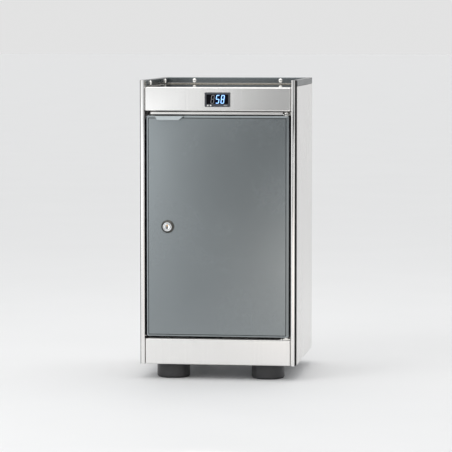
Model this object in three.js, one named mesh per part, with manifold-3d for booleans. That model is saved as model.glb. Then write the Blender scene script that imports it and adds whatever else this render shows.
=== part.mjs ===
// A counter-top ultraviolet sterilising cabinet for salon tools.
// A sheet-metal case with a hinged steel door, a lined chamber with two shelves and a
// germicidal lamp, a control fascia with a small display, and a low gallery round its top.
// Millimetres. +X is the viewer's right, +Y runs to the back and +Z is up.
// Inside this file Y = 0 is the front plane of the corner posts and Z = 0 is the floor.

import * as THREE from 'three';
import { mergeVertices } from 'three/addons/utils/BufferGeometryUtils.js';
import Module from 'manifold-3d';

const wasm = await Module();
wasm.setup();

// ---------------------------------------------------------------- driving sizes

const GAP = 0.3; // between pieces that touch
const SHEET = 1.2; // steel sheet
const BEND = 1.6; // centre-line radius of a folded corner
const BEND_STEPS = 4;
const ROUND_STEPS = 2; // half the facets in a quarter of a small round corner
const SLOT_STEPS = 1;

const FOOT_HEIGHT = 28;
const FOOT_RADIUS = 30.6;
const FOOT_X = 88.5;
const FOOT_FRONT_Y = 48;
const FOOT_REAR_Y = 252;

const CASE_BOTTOM = FOOT_HEIGHT;
const CASE_TOP = 552;
const CASE_DEPTH = 300;
const POST_HALF = 142.5; // half the width over the corner posts
const POST_WIDTH = 7.4;
const POST_INNER = POST_HALF - POST_WIDTH;
const POST_LEG = 24; // how far a post reaches back beside the door
const POST_RETURN = 4;
const PANEL_HALF = 144.9; // half the width over the side panels
const PANEL_FRONT = 24.6;
const STRIP_HALF = 144; // half the width over the black joint strips
const FOOTPRINT_CENTRE_Y = 147; // middle of the whole depth, handle to mains switch

const FACE_Y = 1.5; // fascia, door and kick panel sit this far behind the posts
const FASCIA_TOP = 539;
const FASCIA_BOTTOM = 495.6;
const FASCIA_HALF = 134.5;
const FASCIA_FLANGE_Y = 14.3;
const KICK_TOP = 75.6;
const KICK_FLANGE_Y = 20;

const DECK_TOP = 539.5;
const DECK_HALF = 134;
const EDGING_HEIGHT = 1.3;
const RAIL_BOTTOM = 541.1;
const RAIL_WIDTH = 10.7;
const DECK_BACK_Y = CASE_DEPTH - RAIL_WIDTH - 0.6;
const RAIL_EDGE = 1.4;
const RAIL_CORNER = 9;
const RAIL_SCREW_Z = 546;

const DOOR_TOP = 487;
const DOOR_BOTTOM = 80.2;
const DOOR_HALF = 131.7;
const DOOR_DEPTH = 17.5;
const DOOR_EDGE = 2;
const DOOR_BACK_Y = FACE_Y + DOOR_DEPTH;
const PIVOT_X = 126.7;
const PIVOT_Y = 7;
const PIN_RADIUS = 3;
const PIN_BORE = 3.3;

const HANDLE_LEFT = -115.4;
const HANDLE_RIGHT = -61.9;
const HANDLE_SLANT = 7.4;
const HANDLE_DROP = 8.6;
const HANDLE_FRONT_Y = -9.6;
const HANDLE_BROW = 3; // the lip runs level this far before it slopes
const HANDLE_BEND = 3.6;

const LOCK_X = -92.3;
const LOCK_Z = 283;
const LOCK_FLANGE_RADIUS = 11.8;
const LOCK_BOSS_RADIUS = 8.2;
const LOCK_BODY_RADIUS = 9.4;
const LOCK_HOLE_RADIUS = 9.8;
const LOCK_BORE_RADIUS = 6.4;
const PLUG_RADIUS = 6.1;
const LOCK_HEAD_Y = -6;
const LOCK_BACK_Y = 28.9;
const CAM_Y = 29.5;
const CAM_REACH = 25.7;

const CHAMBER_HALF = 120.8; // inside faces of the chamber
const CHAMBER_FLOOR = 86;
const CHAMBER_CEILING = 478.4;
const CHAMBER_FRONT_Y = 24.4;
const CHAMBER_BACK_Y = 280.3;
const LINER_HALF = 133.2;
const SHELF_HEIGHTS = [206, 332];
const LEDGE_WIDTH = 8;
const GASKET_FRONT_Y = 20.4;

const DOOR_SWITCH_X = -90;
const DOOR_SWITCH_Z = CHAMBER_CEILING - GAP - 7.5;

const LAMP_Y = 150;
const LAMP_Z = 462;
const LAMP_RADIUS = 7.8;
const LAMP_HALF = 106.3;

const DISPLAY_Z = 516.6;
const DISPLAY_WIDTH = 47;
const DISPLAY_HEIGHT = 26.6;
const DISPLAY_FRONT_Y = -0.9;
const DISPLAY_BODY_WIDTH = 44;
const DISPLAY_BODY_HEIGHT = 23.6;
const WINDOW_WIDTH = 39.6;
const WINDOW_HEIGHT = 17;
const WINDOW_Z = 517.4;
const WINDOW_DEPTH = 1.8;
const BUTTON_Z = 506;
const BUTTON_WELL_DEPTH = 5;
const BUTTONS = [
  { x: -17.4, width: 3.1, height: 2.9, corner: 1.3 },
  { x: -12.2, width: 3.1, height: 2.9, corner: 1.3 },
  { x: 15.2, width: 6.6, height: 2, corner: 0.8 },
];

const INLET_X = 92;
const SWITCH_X = 48;
const REAR_FITTING_Z = 510;
const ROCKER_PIVOT_Y = 298.9;
const ROCKER_TILT = THREE.MathUtils.degToRad(12);

// ---------------------------------------------------------------- solid helpers

function toSolid(geometry) {
  const bare = geometry.clone();
  bare.deleteAttribute('normal');
  bare.deleteAttribute('uv');
  const merged = mergeVertices(bare, 1e-4);
  const mesh = new wasm.Mesh({
    numProp: 3,
    vertProperties: new Float32Array(merged.attributes.position.array),
    triVerts: new Uint32Array(merged.index.array),
  });
  return new wasm.Manifold(mesh);
}

function toGeometry(solid) {
  const { vertProperties, triVerts } = solid.getMesh();
  const indexed = new THREE.BufferGeometry();
  indexed.setAttribute('position', new THREE.BufferAttribute(vertProperties, 3));
  indexed.setIndex(new THREE.BufferAttribute(triVerts, 1));
  const geometry = indexed.toNonIndexed();
  geometry.computeVertexNormals();
  return geometry;
}

/** A block between two opposite corners. */
function block(low, high) {
  const size = high.map((value, i) => value - low[i]);
  const middle = high.map((value, i) => (value + low[i]) / 2);
  return toSolid(new THREE.BoxGeometry(...size).translate(...middle));
}

const X_AXIS = new THREE.Vector3(1, 0, 0);
const Y_AXIS = new THREE.Vector3(0, 1, 0);
const Z_AXIS = new THREE.Vector3(0, 0, 1);
// An outline drawn in (y, z) runs along X, one in (x, z) along Y and one in (x, y) along Z.
const TURN = {
  x: new THREE.Matrix4().makeBasis(Y_AXIS, Z_AXIS, X_AXIS),
  y: new THREE.Matrix4().makeBasis(X_AXIS, Z_AXIS, Y_AXIS.clone().negate()),
  z: new THREE.Matrix4(),
};

/** An outline run along an axis from one place to another, its two ends rounded by edge. */
function prism(outline, axis, from, to, edge = 0, steps = ROUND_STEPS) {
  const length = to - from;
  const geometry = new THREE.ExtrudeGeometry(outline, {
    depth: length - 2 * edge,
    bevelEnabled: edge > 0,
    bevelSize: edge,
    bevelOffset: -edge,
    bevelThickness: edge,
    bevelSegments: 2,
    curveSegments: steps,
  });
  geometry.translate(0, 0, edge + (axis === 'y' ? -to : from));
  geometry.applyMatrix4(TURN[axis]);
  return toSolid(geometry);
}

/** A closed outline from its corners. */
function polygon(corners) {
  return new THREE.Shape(corners.map(([u, v]) => new THREE.Vector2(u, v)));
}

/** A rectangle about a centre, its corners rounded. */
function roundedRectangle(centreU, centreV, width, height, radius) {
  const left = centreU - width / 2;
  const right = centreU + width / 2;
  const low = centreV - height / 2;
  const high = centreV + height / 2;
  const shape = new THREE.Shape();
  shape.moveTo(left + radius, low);
  shape.lineTo(right - radius, low);
  shape.absarc(right - radius, low + radius, radius, -Math.PI / 2, 0);
  shape.lineTo(right, high - radius);
  shape.absarc(right - radius, high - radius, radius, 0, Math.PI / 2);
  shape.lineTo(left + radius, high);
  shape.absarc(left + radius, high - radius, radius, Math.PI / 2, Math.PI);
  shape.lineTo(left, low + radius);
  shape.absarc(left + radius, low + radius, radius, Math.PI, 1.5 * Math.PI);
  return shape;
}

/** A round bar or disc along Y. */
function rodAlongY(radius, from, to, [x, z], sides = 24) {
  const geometry = new THREE.CylinderGeometry(radius, radius, to - from, sides);
  geometry.translate(0, (from + to) / 2, 0);
  return toSolid(geometry.translate(x, 0, z));
}

/** A round bar or disc along Z. */
function rodAlongZ(radius, from, to, [x, y], sides = 20) {
  const geometry = new THREE.CylinderGeometry(radius, radius, to - from, sides);
  geometry.rotateX(Math.PI / 2);
  return toSolid(geometry.translate(x, y, (from + to) / 2));
}

/** A turned piece about +Z, from its radius and height pairs; it starts and ends on the axis. */
function turned(profile, sides = 32) {
  const points = profile.map(([radius, height]) => new THREE.Vector2(radius, height));
  const geometry = new THREE.LatheGeometry(points, sides);
  geometry.rotateX(Math.PI / 2);
  return toSolid(geometry);
}

/** Points on a line through the corners, each inner corner rounded by the bend radius. */
function foldLine(corners, bend) {
  const points = corners.map(([u, v]) => new THREE.Vector2(u, v));
  const line = [points[0]];
  for (let i = 1; i < points.length - 1; i += 1) {
    const back = points[i - 1].clone().sub(points[i]).normalize();
    const on = points[i + 1].clone().sub(points[i]).normalize();
    const halfAngle = Math.acos(back.dot(on)) / 2;
    const setback = bend / Math.tan(halfAngle);
    const start = points[i].clone().addScaledVector(back, setback);
    const end = points[i].clone().addScaledVector(on, setback);
    const toCentre = back.clone().add(on).normalize();
    const centre = points[i].clone().addScaledVector(toCentre, bend / Math.sin(halfAngle));
    const from = start.clone().sub(centre).angle();
    let sweep = end.clone().sub(centre).angle() - from;
    sweep -= 2 * Math.PI * Math.round(sweep / (2 * Math.PI));
    for (let step = 0; step <= BEND_STEPS; step += 1) {
      const angle = from + (sweep * step) / BEND_STEPS;
      line.push(new THREE.Vector2(Math.cos(angle), Math.sin(angle)).multiplyScalar(bend).add(centre));
    }
  }
  line.push(points[points.length - 1]);
  return line;
}

/** The section of a folded sheet whose centre line runs through the corners. */
function sheetSection(corners, bend = BEND, thickness = SHEET) {
  const line = foldLine(corners, bend);
  const left = [];
  const right = [];
  line.forEach((point, i) => {
    const before = line[Math.max(i - 1, 0)];
    const after = line[Math.min(i + 1, line.length - 1)];
    const along = after.clone().sub(before).normalize();
    const across = new THREE.Vector2(-along.y, along.x).multiplyScalar(thickness / 2);
    left.push(point.clone().add(across));
    right.push(point.clone().sub(across));
  });
  return new THREE.Shape([...left, ...right.reverse()]);
}

// ---------------------------------------------------------------- finishes

const FINISH = {
  stainless: { color: 0xc9c8c4, roughness: 0.32, metalness: 1 },
  polished: { color: 0xd0cfca, roughness: 0.08, metalness: 1 },
  greyPaint: { color: 0x6f777a, roughness: 0.42, metalness: 0.35 },
  railPaint: { color: 0x5a6468, roughness: 0.4, metalness: 0.3 },
  chrome: { color: 0xdcdcdc, roughness: 0.1, metalness: 1 },
  zinc: { color: 0xb6b8ba, roughness: 0.35, metalness: 1 },
  aluminium: { color: 0xd6d8da, roughness: 0.15, metalness: 1 },
  rubber: { color: 0x2b2b2d, roughness: 0.75, metalness: 0 },
  blackPlastic: { color: 0x1c1d1f, roughness: 0.5, metalness: 0 },
  darkPlastic: { color: 0x3c3f43, roughness: 0.5, metalness: 0 },
  whitePlastic: { color: 0xe4e4e0, roughness: 0.5, metalness: 0 },
  smokedLens: { color: 0x07080b, roughness: 0.1, metalness: 0 },
  lampGlass: { color: 0xe6ecf5, roughness: 0.05, metalness: 0 },
};

function part(name, solid, finish) {
  const mesh = new THREE.Mesh(toGeometry(solid), new THREE.MeshStandardMaterial(FINISH[finish]));
  mesh.name = name;
  return mesh;
}

// ---------------------------------------------------------------- case

/** A shallow folded tray that closes the case from below. */
function basePan() {
  const half = PANEL_HALF - SHEET - 0.5;
  const front = PANEL_FRONT + 2;
  const back = CASE_DEPTH - 3.4;
  const rim = CASE_BOTTOM + 18;
  const outside = block([-half, front, CASE_BOTTOM], [half, back, rim]);
  const hollow = block(
    [-half + SHEET, front + SHEET, CASE_BOTTOM + SHEET],
    [half - SHEET, back - SHEET, rim + 1],
  );
  return part('base_pan', outside.subtract(hollow), 'zinc');
}

/** A side panel, folded inwards at its front and back edges. */
function sidePanel(side, name) {
  const wall = side * (PANEL_HALF - SHEET / 2);
  const frontFold = PANEL_FRONT + SHEET / 2;
  const backFold = CASE_DEPTH - 2.3;
  const section = sheetSection([
    [side * (POST_INNER + 2.6), frontFold],
    [wall, frontFold],
    [wall, backFold],
    [side * (POST_INNER - 4), backFold],
  ]);
  return part(name, prism(section, 'z', CASE_BOTTOM, RAIL_BOTTOM - 0.5), 'stainless');
}

/** A horizontal slot with round ends, as a hole in an outline. */
function slotHole(centreU, centreV, length, height) {
  return roundedRectangle(centreU, centreV, length, height, height / 2 - 0.01);
}

/** The back panel, with two fields of vent slots and the mains openings. */
function rearPanel() {
  const width = 2 * (PANEL_HALF - 0.3);
  const low = CASE_BOTTOM + GAP;
  const high = RAIL_BOTTOM - 0.6;
  const outline = roundedRectangle(0, (low + high) / 2, width, high - low, 1.5);
  const slotHeight = 4;
  const pitch = 10;
  for (let row = 0; row < 6; row += 1) {
    for (const x of [-46, 46]) {
      outline.holes.push(slotHole(x, 110 + row * pitch, 80, slotHeight));
    }
  }
  for (let row = 0; row < 3; row += 1) {
    outline.holes.push(slotHole(-70, 500 + row * pitch, 80, slotHeight));
  }
  outline.holes.push(roundedRectangle(INLET_X, REAR_FITTING_Z, 27.8, 20.6, 1));
  outline.holes.push(roundedRectangle(SWITCH_X, REAR_FITTING_Z, 13.2, 19.4, 1));
  const plate = prism(outline, 'y', CASE_DEPTH - SHEET, CASE_DEPTH, 0, SLOT_STEPS);
  return part('rear_panel', plate, 'stainless');
}

/** A corner post: a narrow folded strip whose long leg makes the door jamb. */
function frontPost(side, name) {
  const outer = side * (POST_HALF - SHEET / 2);
  const inner = side * (POST_INNER + SHEET / 2);
  const section = sheetSection([
    [outer, POST_RETURN],
    [outer, SHEET / 2],
    [inner, SHEET / 2],
    [inner, POST_LEG],
  ]);
  return part(name, prism(section, 'z', CASE_BOTTOM, CASE_TOP), 'stainless');
}

/** The black filler between a corner post and the side panel behind it. */
function jointStrip(side, name) {
  const inner = POST_INNER + SHEET + 0.4;
  const outer = STRIP_HALF;
  const low = Math.min(side * inner, side * outer);
  const high = Math.max(side * inner, side * outer);
  const solid = block([low, POST_RETURN + 0.4, CASE_BOTTOM], [high, PANEL_FRONT - 0.4, CASE_TOP]);
  return part(name, solid, 'blackPlastic');
}

/** The control fascia: a channel with a cut-out for the display. */
function controlFascia() {
  const middle = FACE_Y + SHEET / 2;
  const section = sheetSection([
    [FASCIA_FLANGE_Y, FASCIA_TOP - SHEET / 2],
    [middle, FASCIA_TOP - SHEET / 2],
    [middle, FASCIA_BOTTOM + SHEET / 2],
    [FASCIA_FLANGE_Y, FASCIA_BOTTOM + SHEET / 2],
  ]);
  const channel = prism(section, 'x', -FASCIA_HALF, FASCIA_HALF);
  const cutOut = prism(
    roundedRectangle(0, DISPLAY_Z, DISPLAY_BODY_WIDTH + 0.6, DISPLAY_BODY_HEIGHT + 0.6, 0.8),
    'y',
    FACE_Y - 1,
    FACE_Y + SHEET + 1,
  );
  return part('control_fascia', channel.subtract(cutOut), 'stainless');
}

/** The kick panel under the door, whose lower flange runs back to the base pan. */
function kickPanel() {
  const middle = FACE_Y + SHEET / 2;
  const section = sheetSection([
    [KICK_FLANGE_Y, KICK_TOP - SHEET / 2],
    [middle, KICK_TOP - SHEET / 2],
    [middle, CASE_BOTTOM + SHEET / 2],
    [PANEL_FRONT + 1.4, CASE_BOTTOM + SHEET / 2],
  ]);
  return part('kick_panel', prism(section, 'x', -FASCIA_HALF, FASCIA_HALF), 'stainless');
}

/** The recessed strip between the fascia and the top of the door. */
function headerStrip() {
  const top = FASCIA_BOTTOM - 2;
  const bottom = DOOR_TOP + 2.2;
  const section = sheetSection([
    [PANEL_FRONT, top],
    [6.6, top],
    [6.6, bottom],
    [14, bottom],
  ], 1.1);
  return part('header_strip', prism(section, 'x', -PIVOT_X + 2, PIVOT_X - 7), 'stainless');
}

// ---------------------------------------------------------------- top

/** The polished deck inside the gallery. */
function topDeck() {
  const low = [-DECK_HALF, FASCIA_FLANGE_Y + 0.5, DECK_TOP - SHEET];
  return part('top_deck', block(low, [DECK_HALF, DECK_BACK_Y, DECK_TOP]), 'polished');
}

/** A low edging strip that stands on the deck along the left, the back and the right. */
function deckEdging() {
  const front = POST_LEG + 2.4;
  const bottom = DECK_TOP + GAP;
  const top = DECK_TOP + EDGING_HEIGHT;
  const outside = block([-DECK_HALF, front, bottom], [DECK_HALF, DECK_BACK_Y, top]);
  const inside = block(
    [-DECK_HALF + SHEET, front - 1, bottom - 1],
    [DECK_HALF - SHEET, DECK_BACK_Y - SHEET, top + 1],
  );
  return part('deck_edging', outside.subtract(inside), 'stainless');
}

/** A gallery rail: a cap with rounded upper edges, hollow from below. */
function galleryRail(outline, hollowOutline, screwHoles, name) {
  const cap = prism(outline, 'z', RAIL_BOTTOM - 2 * RAIL_EDGE, CASE_TOP, RAIL_EDGE);
  const below = block([-200, -10, RAIL_BOTTOM - 10], [200, CASE_DEPTH + 10, RAIL_BOTTOM]);
  const hollow = prism(hollowOutline, 'z', RAIL_BOTTOM - 1, CASE_TOP - 1.5);
  const rail = cap.subtract(below).subtract(hollow);
  return part(name, screwHoles.reduce((solid, hole) => solid.subtract(hole), rail), 'railPaint');
}

const SCREW_HOLE_RADIUS = 2.3;
const SIDE_SCREW_Y = [60, 238];
const REAR_SCREW_X = [-84, 84];

function sideGalleryRail(side, name) {
  const middleX = side * (PANEL_HALF - RAIL_WIDTH / 2);
  const front = PANEL_FRONT + 0.2;
  const back = CASE_DEPTH - RAIL_WIDTH - GAP;
  const middleY = (front + back) / 2;
  const outline = roundedRectangle(middleX, middleY, RAIL_WIDTH, back - front, RAIL_EDGE + 0.2);
  const hollow = roundedRectangle(middleX, middleY, RAIL_WIDTH - 3, back - front - 3, 0.4);
  const screwHoles = SIDE_SCREW_Y.map((y) => {
    const innerFace = PANEL_HALF - RAIL_WIDTH;
    const from = side > 0 ? innerFace - 2 : -innerFace - 2;
    return toSolid(new THREE.CylinderGeometry(SCREW_HOLE_RADIUS, SCREW_HOLE_RADIUS, 4, 20)
      .rotateZ(Math.PI / 2).translate(from + 2, y, RAIL_SCREW_Z));
  });
  return galleryRail(outline, hollow, screwHoles, name);
}

/** The rear rail spans the full width and turns both back corners. */
function rearGalleryRail() {
  const front = CASE_DEPTH - RAIL_WIDTH;
  const outline = new THREE.Shape();
  outline.moveTo(-PANEL_HALF, front);
  outline.lineTo(PANEL_HALF, front);
  outline.lineTo(PANEL_HALF, CASE_DEPTH - RAIL_CORNER);
  outline.absarc(PANEL_HALF - RAIL_CORNER, CASE_DEPTH - RAIL_CORNER, RAIL_CORNER, 0, Math.PI / 2);
  outline.lineTo(-PANEL_HALF + RAIL_CORNER, CASE_DEPTH);
  outline.absarc(
    -PANEL_HALF + RAIL_CORNER, CASE_DEPTH - RAIL_CORNER, RAIL_CORNER, Math.PI / 2, Math.PI,
  );
  const hollow = roundedRectangle(
    0, CASE_DEPTH - RAIL_WIDTH / 2, 2 * (PANEL_HALF - RAIL_CORNER), RAIL_WIDTH - 3, 0.4,
  );
  const screwHoles = REAR_SCREW_X.map(
    (x) => rodAlongY(SCREW_HOLE_RADIUS, front - 2, front + 2, [x, RAIL_SCREW_Z], 20),
  );
  return galleryRail(outline, hollow, screwHoles, 'rear_gallery_rail');
}

/** A domed screw, its head on the XY plane and its shank along -Z. */
function domedScrew(name) {
  const profile = [
    [0, -5.5], [2, -5.5], [2, 0], [4.3, 0], [4.3, 0.5], [3.6, 1.7], [2.2, 2.6], [0, 3],
  ];
  return part(name, turned(profile, 20), 'chrome');
}

function galleryScrews() {
  const screws = new THREE.Group();
  const innerFace = PANEL_HALF - RAIL_WIDTH - GAP;
  const sides = [['left', -1, Math.PI / 2], ['right', 1, -Math.PI / 2]];
  for (const [sideName, side, turn] of sides) {
    SIDE_SCREW_Y.forEach((y, i) => {
      const screw = domedScrew(`${sideName}_gallery_screw_${i + 1}`);
      screw.position.set(side * innerFace, y, RAIL_SCREW_Z);
      screw.rotation.y = turn;
      screws.add(screw);
    });
  }
  REAR_SCREW_X.forEach((x, i) => {
    const screw = domedScrew(`rear_gallery_screw_${i + 1}`);
    screw.position.set(x, CASE_DEPTH - RAIL_WIDTH - GAP, RAIL_SCREW_Z);
    screw.rotation.x = Math.PI / 2;
    screws.add(screw);
  });
  return screws;
}

// ---------------------------------------------------------------- chamber

/** A chamber wall with a flange at its front and two ledges for the shelves. */
function chamberWall(side, name) {
  const wall = side * (CHAMBER_HALF + SHEET / 2);
  const fold = CHAMBER_FRONT_Y + SHEET / 2;
  const section = sheetSection([[side * LINER_HALF, fold], [wall, fold], [wall, CHAMBER_BACK_Y]]);
  let solid = prism(section, 'z', CHAMBER_FLOOR + GAP, CHAMBER_CEILING - GAP);
  for (const height of SHELF_HEIGHTS) {
    const inner = CHAMBER_HALF - LEDGE_WIDTH;
    const outer = CHAMBER_HALF + SHEET / 2;
    const low = Math.min(side * inner, side * outer);
    const high = Math.max(side * inner, side * outer);
    const top = height - GAP;
    solid = solid.add(block([low, 40, top - SHEET], [high, CHAMBER_BACK_Y, top]));
  }
  return part(name, solid, 'stainless');
}

function chamberPlate(name, level, flangeEnd, centreOffset) {
  const fold = CHAMBER_FRONT_Y + SHEET / 2;
  const middle = level + centreOffset;
  const section = sheetSection([[fold, flangeEnd], [fold, middle], [CHAMBER_BACK_Y, middle]]);
  return part(name, prism(section, 'x', -LINER_HALF, LINER_HALF), 'stainless');
}

function chamberBackWall() {
  const front = CHAMBER_BACK_Y + GAP;
  const low = [-LINER_HALF, front, CHAMBER_FLOOR - SHEET];
  const high = [LINER_HALF, front + SHEET, CHAMBER_CEILING + SHEET];
  return part('chamber_back_wall', block(low, high), 'stainless');
}

/** The rubber seal round the chamber's mouth. */
function doorGasket() {
  const outerTop = DOOR_TOP + 0.4;
  const outerLow = DOOR_BOTTOM - 0.7;
  const outline = roundedRectangle(
    0, (outerTop + outerLow) / 2, 2 * LINER_HALF, outerTop - outerLow, 1,
  );
  const innerTop = CHAMBER_CEILING + 0.5;
  const innerLow = CHAMBER_FLOOR - 0.5;
  outline.holes.push(roundedRectangle(
    0, (innerTop + innerLow) / 2, 2 * (CHAMBER_HALF + 0.7), innerTop - innerLow, 3,
  ));
  return part('door_gasket', prism(outline, 'y', GASKET_FRONT_Y, CHAMBER_FRONT_Y - GAP), 'rubber');
}

/** A slotted shelf with a turned-down front lip. */
function shelf(name) {
  const half = CHAMBER_HALF - 1;
  const front = 42;
  const back = CHAMBER_BACK_Y - 4;
  const lip = sheetSection([[front + SHEET / 2, -9], [front + SHEET / 2, SHEET / 2], [70, SHEET / 2]]);
  const lipSolid = prism(lip, 'x', -half + LEDGE_WIDTH + 1, half - LEDGE_WIDTH - 1);
  const outline = roundedRectangle(0, (front + 5 + back) / 2, 2 * half, back - front - 5, 3);
  for (let row = 0; row < 8; row += 1) {
    for (const x of [-54, 54]) {
      outline.holes.push(slotHole(x, 82 + row * 24, 88, 9));
    }
  }
  const plate = prism(outline, 'z', 0, SHEET, 0, SLOT_STEPS);
  return part(name, plate.add(lipSolid), 'stainless');
}

function shelves() {
  const group = new THREE.Group();
  ['lower_shelf', 'upper_shelf'].forEach((name, i) => {
    const tray = shelf(name);
    tray.position.z = SHELF_HEIGHTS[i];
    group.add(tray);
  });
  return group;
}

// ---------------------------------------------------------------- lamp

function lampTube() {
  const cap = 7;
  const profile = [
    [0, -LAMP_HALF], [LAMP_RADIUS + 0.3, -LAMP_HALF], [LAMP_RADIUS + 0.3, -LAMP_HALF + cap],
    [LAMP_RADIUS - 0.2, -LAMP_HALF + cap], [LAMP_RADIUS - 0.2, LAMP_HALF - cap],
    [LAMP_RADIUS + 0.3, LAMP_HALF - cap], [LAMP_RADIUS + 0.3, LAMP_HALF], [0, LAMP_HALF],
  ];
  const tube = part('uv_lamp_tube', turned(profile, 28), 'lampGlass');
  tube.rotation.y = Math.PI / 2;
  tube.position.set(0, LAMP_Y, LAMP_Z);
  return tube;
}

function lampHolder(side, name) {
  const near = LAMP_HALF + GAP;
  const far = near + 11.5;
  const low = side > 0 ? near : -far;
  const high = side > 0 ? far : -near;
  const rise = CHAMBER_CEILING - GAP - LAMP_Z;
  const outline = roundedRectangle(LAMP_Y, LAMP_Z + (rise - 11) / 2, 22, rise + 11, 4);
  return part(name, prism(outline, 'x', low, high, 0.8), 'whitePlastic');
}

function lampReflector() {
  const flat = CHAMBER_CEILING - 3;
  const section = sheetSection([
    [LAMP_Y - 18, LAMP_Z - 2], [LAMP_Y - 9, flat], [LAMP_Y + 9, flat], [LAMP_Y + 18, LAMP_Z - 2],
  ], 1.5, 0.8);
  return part('lamp_reflector', prism(section, 'x', -LAMP_HALF + 3, LAMP_HALF - 3), 'aluminium');
}

/** The lamp's ballast, on top of the chamber behind the fascia. */
function ballast() {
  const bottom = CHAMBER_CEILING + SHEET + GAP;
  const outline = roundedRectangle(-40, 150, 118, 38, 3);
  return part('lamp_ballast', prism(outline, 'z', bottom, bottom + 28, 1.5), 'zinc');
}

/** The door interlock switch under the chamber ceiling, with a bore for its plunger. */
function doorSwitch() {
  const outline = roundedRectangle(DOOR_SWITCH_X, DOOR_SWITCH_Z, 20, 15, 1.5);
  const body = prism(outline, 'y', 30, 58, 0.8);
  const bore = rodAlongY(2.8, 29, 41, [DOOR_SWITCH_X, DOOR_SWITCH_Z], 24);
  return part('door_switch', body.subtract(bore), 'blackPlastic');
}

function doorSwitchPlunger() {
  const profile = [
    [0, -14.6], [2.4, -14.6], [2.4, -1.2], [1.9, -0.4], [0, 0],
  ];
  const plunger = part('door_switch_plunger', turned(profile, 24), 'whitePlastic');
  plunger.position.set(DOOR_SWITCH_X, DOOR_BACK_Y + 0.4, DOOR_SWITCH_Z);
  plunger.rotation.x = Math.PI / 2;
  return plunger;
}

// ---------------------------------------------------------------- control display

function displayHousing() {
  const bezelBack = FACE_Y - GAP;
  const bezelOutline = roundedRectangle(0, DISPLAY_Z, DISPLAY_WIDTH, DISPLAY_HEIGHT, 1.2);
  const bezel = prism(bezelOutline, 'y', DISPLAY_FRONT_Y, bezelBack, 0.5);
  const bodyOutline = roundedRectangle(0, DISPLAY_Z, DISPLAY_BODY_WIDTH, DISPLAY_BODY_HEIGHT, 0.5);
  const body = prism(bodyOutline, 'y', bezelBack - 0.6, 24);
  const windowWell = prism(
    roundedRectangle(0, WINDOW_Z, WINDOW_WIDTH + 0.6, WINDOW_HEIGHT + 0.6, 0.6),
    'y',
    DISPLAY_FRONT_Y - 1,
    DISPLAY_FRONT_Y + WINDOW_DEPTH,
  );
  let solid = bezel.add(body).subtract(windowWell);
  for (const { x, width, height, corner } of BUTTONS) {
    const well = roundedRectangle(x, BUTTON_Z, width + 2 * GAP, height + 2 * GAP, corner + GAP);
    const depth = DISPLAY_FRONT_Y + BUTTON_WELL_DEPTH;
    solid = solid.subtract(prism(well, 'y', DISPLAY_FRONT_Y - 1, depth));
  }
  return part('display_housing', solid, 'darkPlastic');
}

function displayWindow() {
  const outline = roundedRectangle(0, WINDOW_Z, WINDOW_WIDTH, WINDOW_HEIGHT, 0.5);
  const front = DISPLAY_FRONT_Y + 0.4;
  const back = DISPLAY_FRONT_Y + WINDOW_DEPTH - GAP;
  return part('display_window', prism(outline, 'y', front, back), 'smokedLens');
}

function displayButtons() {
  const buttons = new THREE.Group();
  BUTTONS.forEach(({ x, width, height, corner }, i) => {
    const outline = roundedRectangle(0, 0, width, height, corner);
    const cap = prism(outline, 'y', -0.7, 3.5, 0.25);
    const button = part(`display_button_${i + 1}`, cap, 'whitePlastic');
    button.position.set(x, DISPLAY_FRONT_Y, BUTTON_Z);
    buttons.add(button);
  });
  return buttons;
}

// ---------------------------------------------------------------- mains fittings

/** The three-pin appliance inlet: a flange, a well and three flat pins. */
function powerInlet() {
  const mouth = CASE_DEPTH + 3;
  const well = mouth - 15;
  const flange = prism(
    roundedRectangle(0, 0, 31, 24.6, 2), 'y', CASE_DEPTH + GAP, mouth, 0.6,
  );
  const body = prism(roundedRectangle(0, 0, 27.2, 20, 1), 'y', CASE_DEPTH - 18, mouth - 1);
  const socket = polygon([[-12, -8], [12, -8], [12, 4], [8, 8.4], [-8, 8.4], [-12, 4]]);
  let solid = flange.add(body).subtract(prism(socket, 'y', well, mouth + 1));
  for (const [x, z] of [[-7, -2], [7, -2], [0, 2]]) {
    solid = solid.add(block([x - 1, well - 0.5, z - 2], [x + 1, well + 10, z + 2]));
  }
  const inlet = part('power_inlet', solid, 'blackPlastic');
  inlet.position.set(INLET_X, 0, REAR_FITTING_Z);
  return inlet;
}

function switchHousing() {
  const face = CASE_DEPTH + 2;
  const flange = prism(roundedRectangle(0, 0, 15, 21.4, 1.2), 'y', CASE_DEPTH + GAP, face, 0.5);
  const body = prism(roundedRectangle(0, 0, 12.6, 18.8, 0.6), 'y', CASE_DEPTH - 15, face - 0.8);
  const well = prism(roundedRectangle(0, 0, 10.6, 17.2, 0.4), 'y', CASE_DEPTH - 9, face + 1);
  const housing = part('power_switch_housing', flange.add(body).subtract(well), 'blackPlastic');
  housing.position.set(SWITCH_X, 0, REAR_FITTING_Z);
  return housing;
}

/** The mains rocker, tilted to its "on" side about a pivot along X. */
function switchRocker() {
  const outline = new THREE.Shape();
  outline.moveTo(3.2, -7.6);
  outline.lineTo(1.6, 0);
  outline.lineTo(3.2, 7.6);
  outline.lineTo(0, 7.4);
  outline.absarc(0, 0, 5.4, Math.PI / 2, 1.5 * Math.PI);
  outline.lineTo(0, -7.4);
  const rocker = part('power_switch_rocker', prism(outline, 'x', -5, 5), 'blackPlastic');
  rocker.position.set(SWITCH_X, ROCKER_PIVOT_Y, REAR_FITTING_Z);
  rocker.rotation.x = -ROCKER_TILT;
  return rocker;
}

// ---------------------------------------------------------------- door

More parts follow.
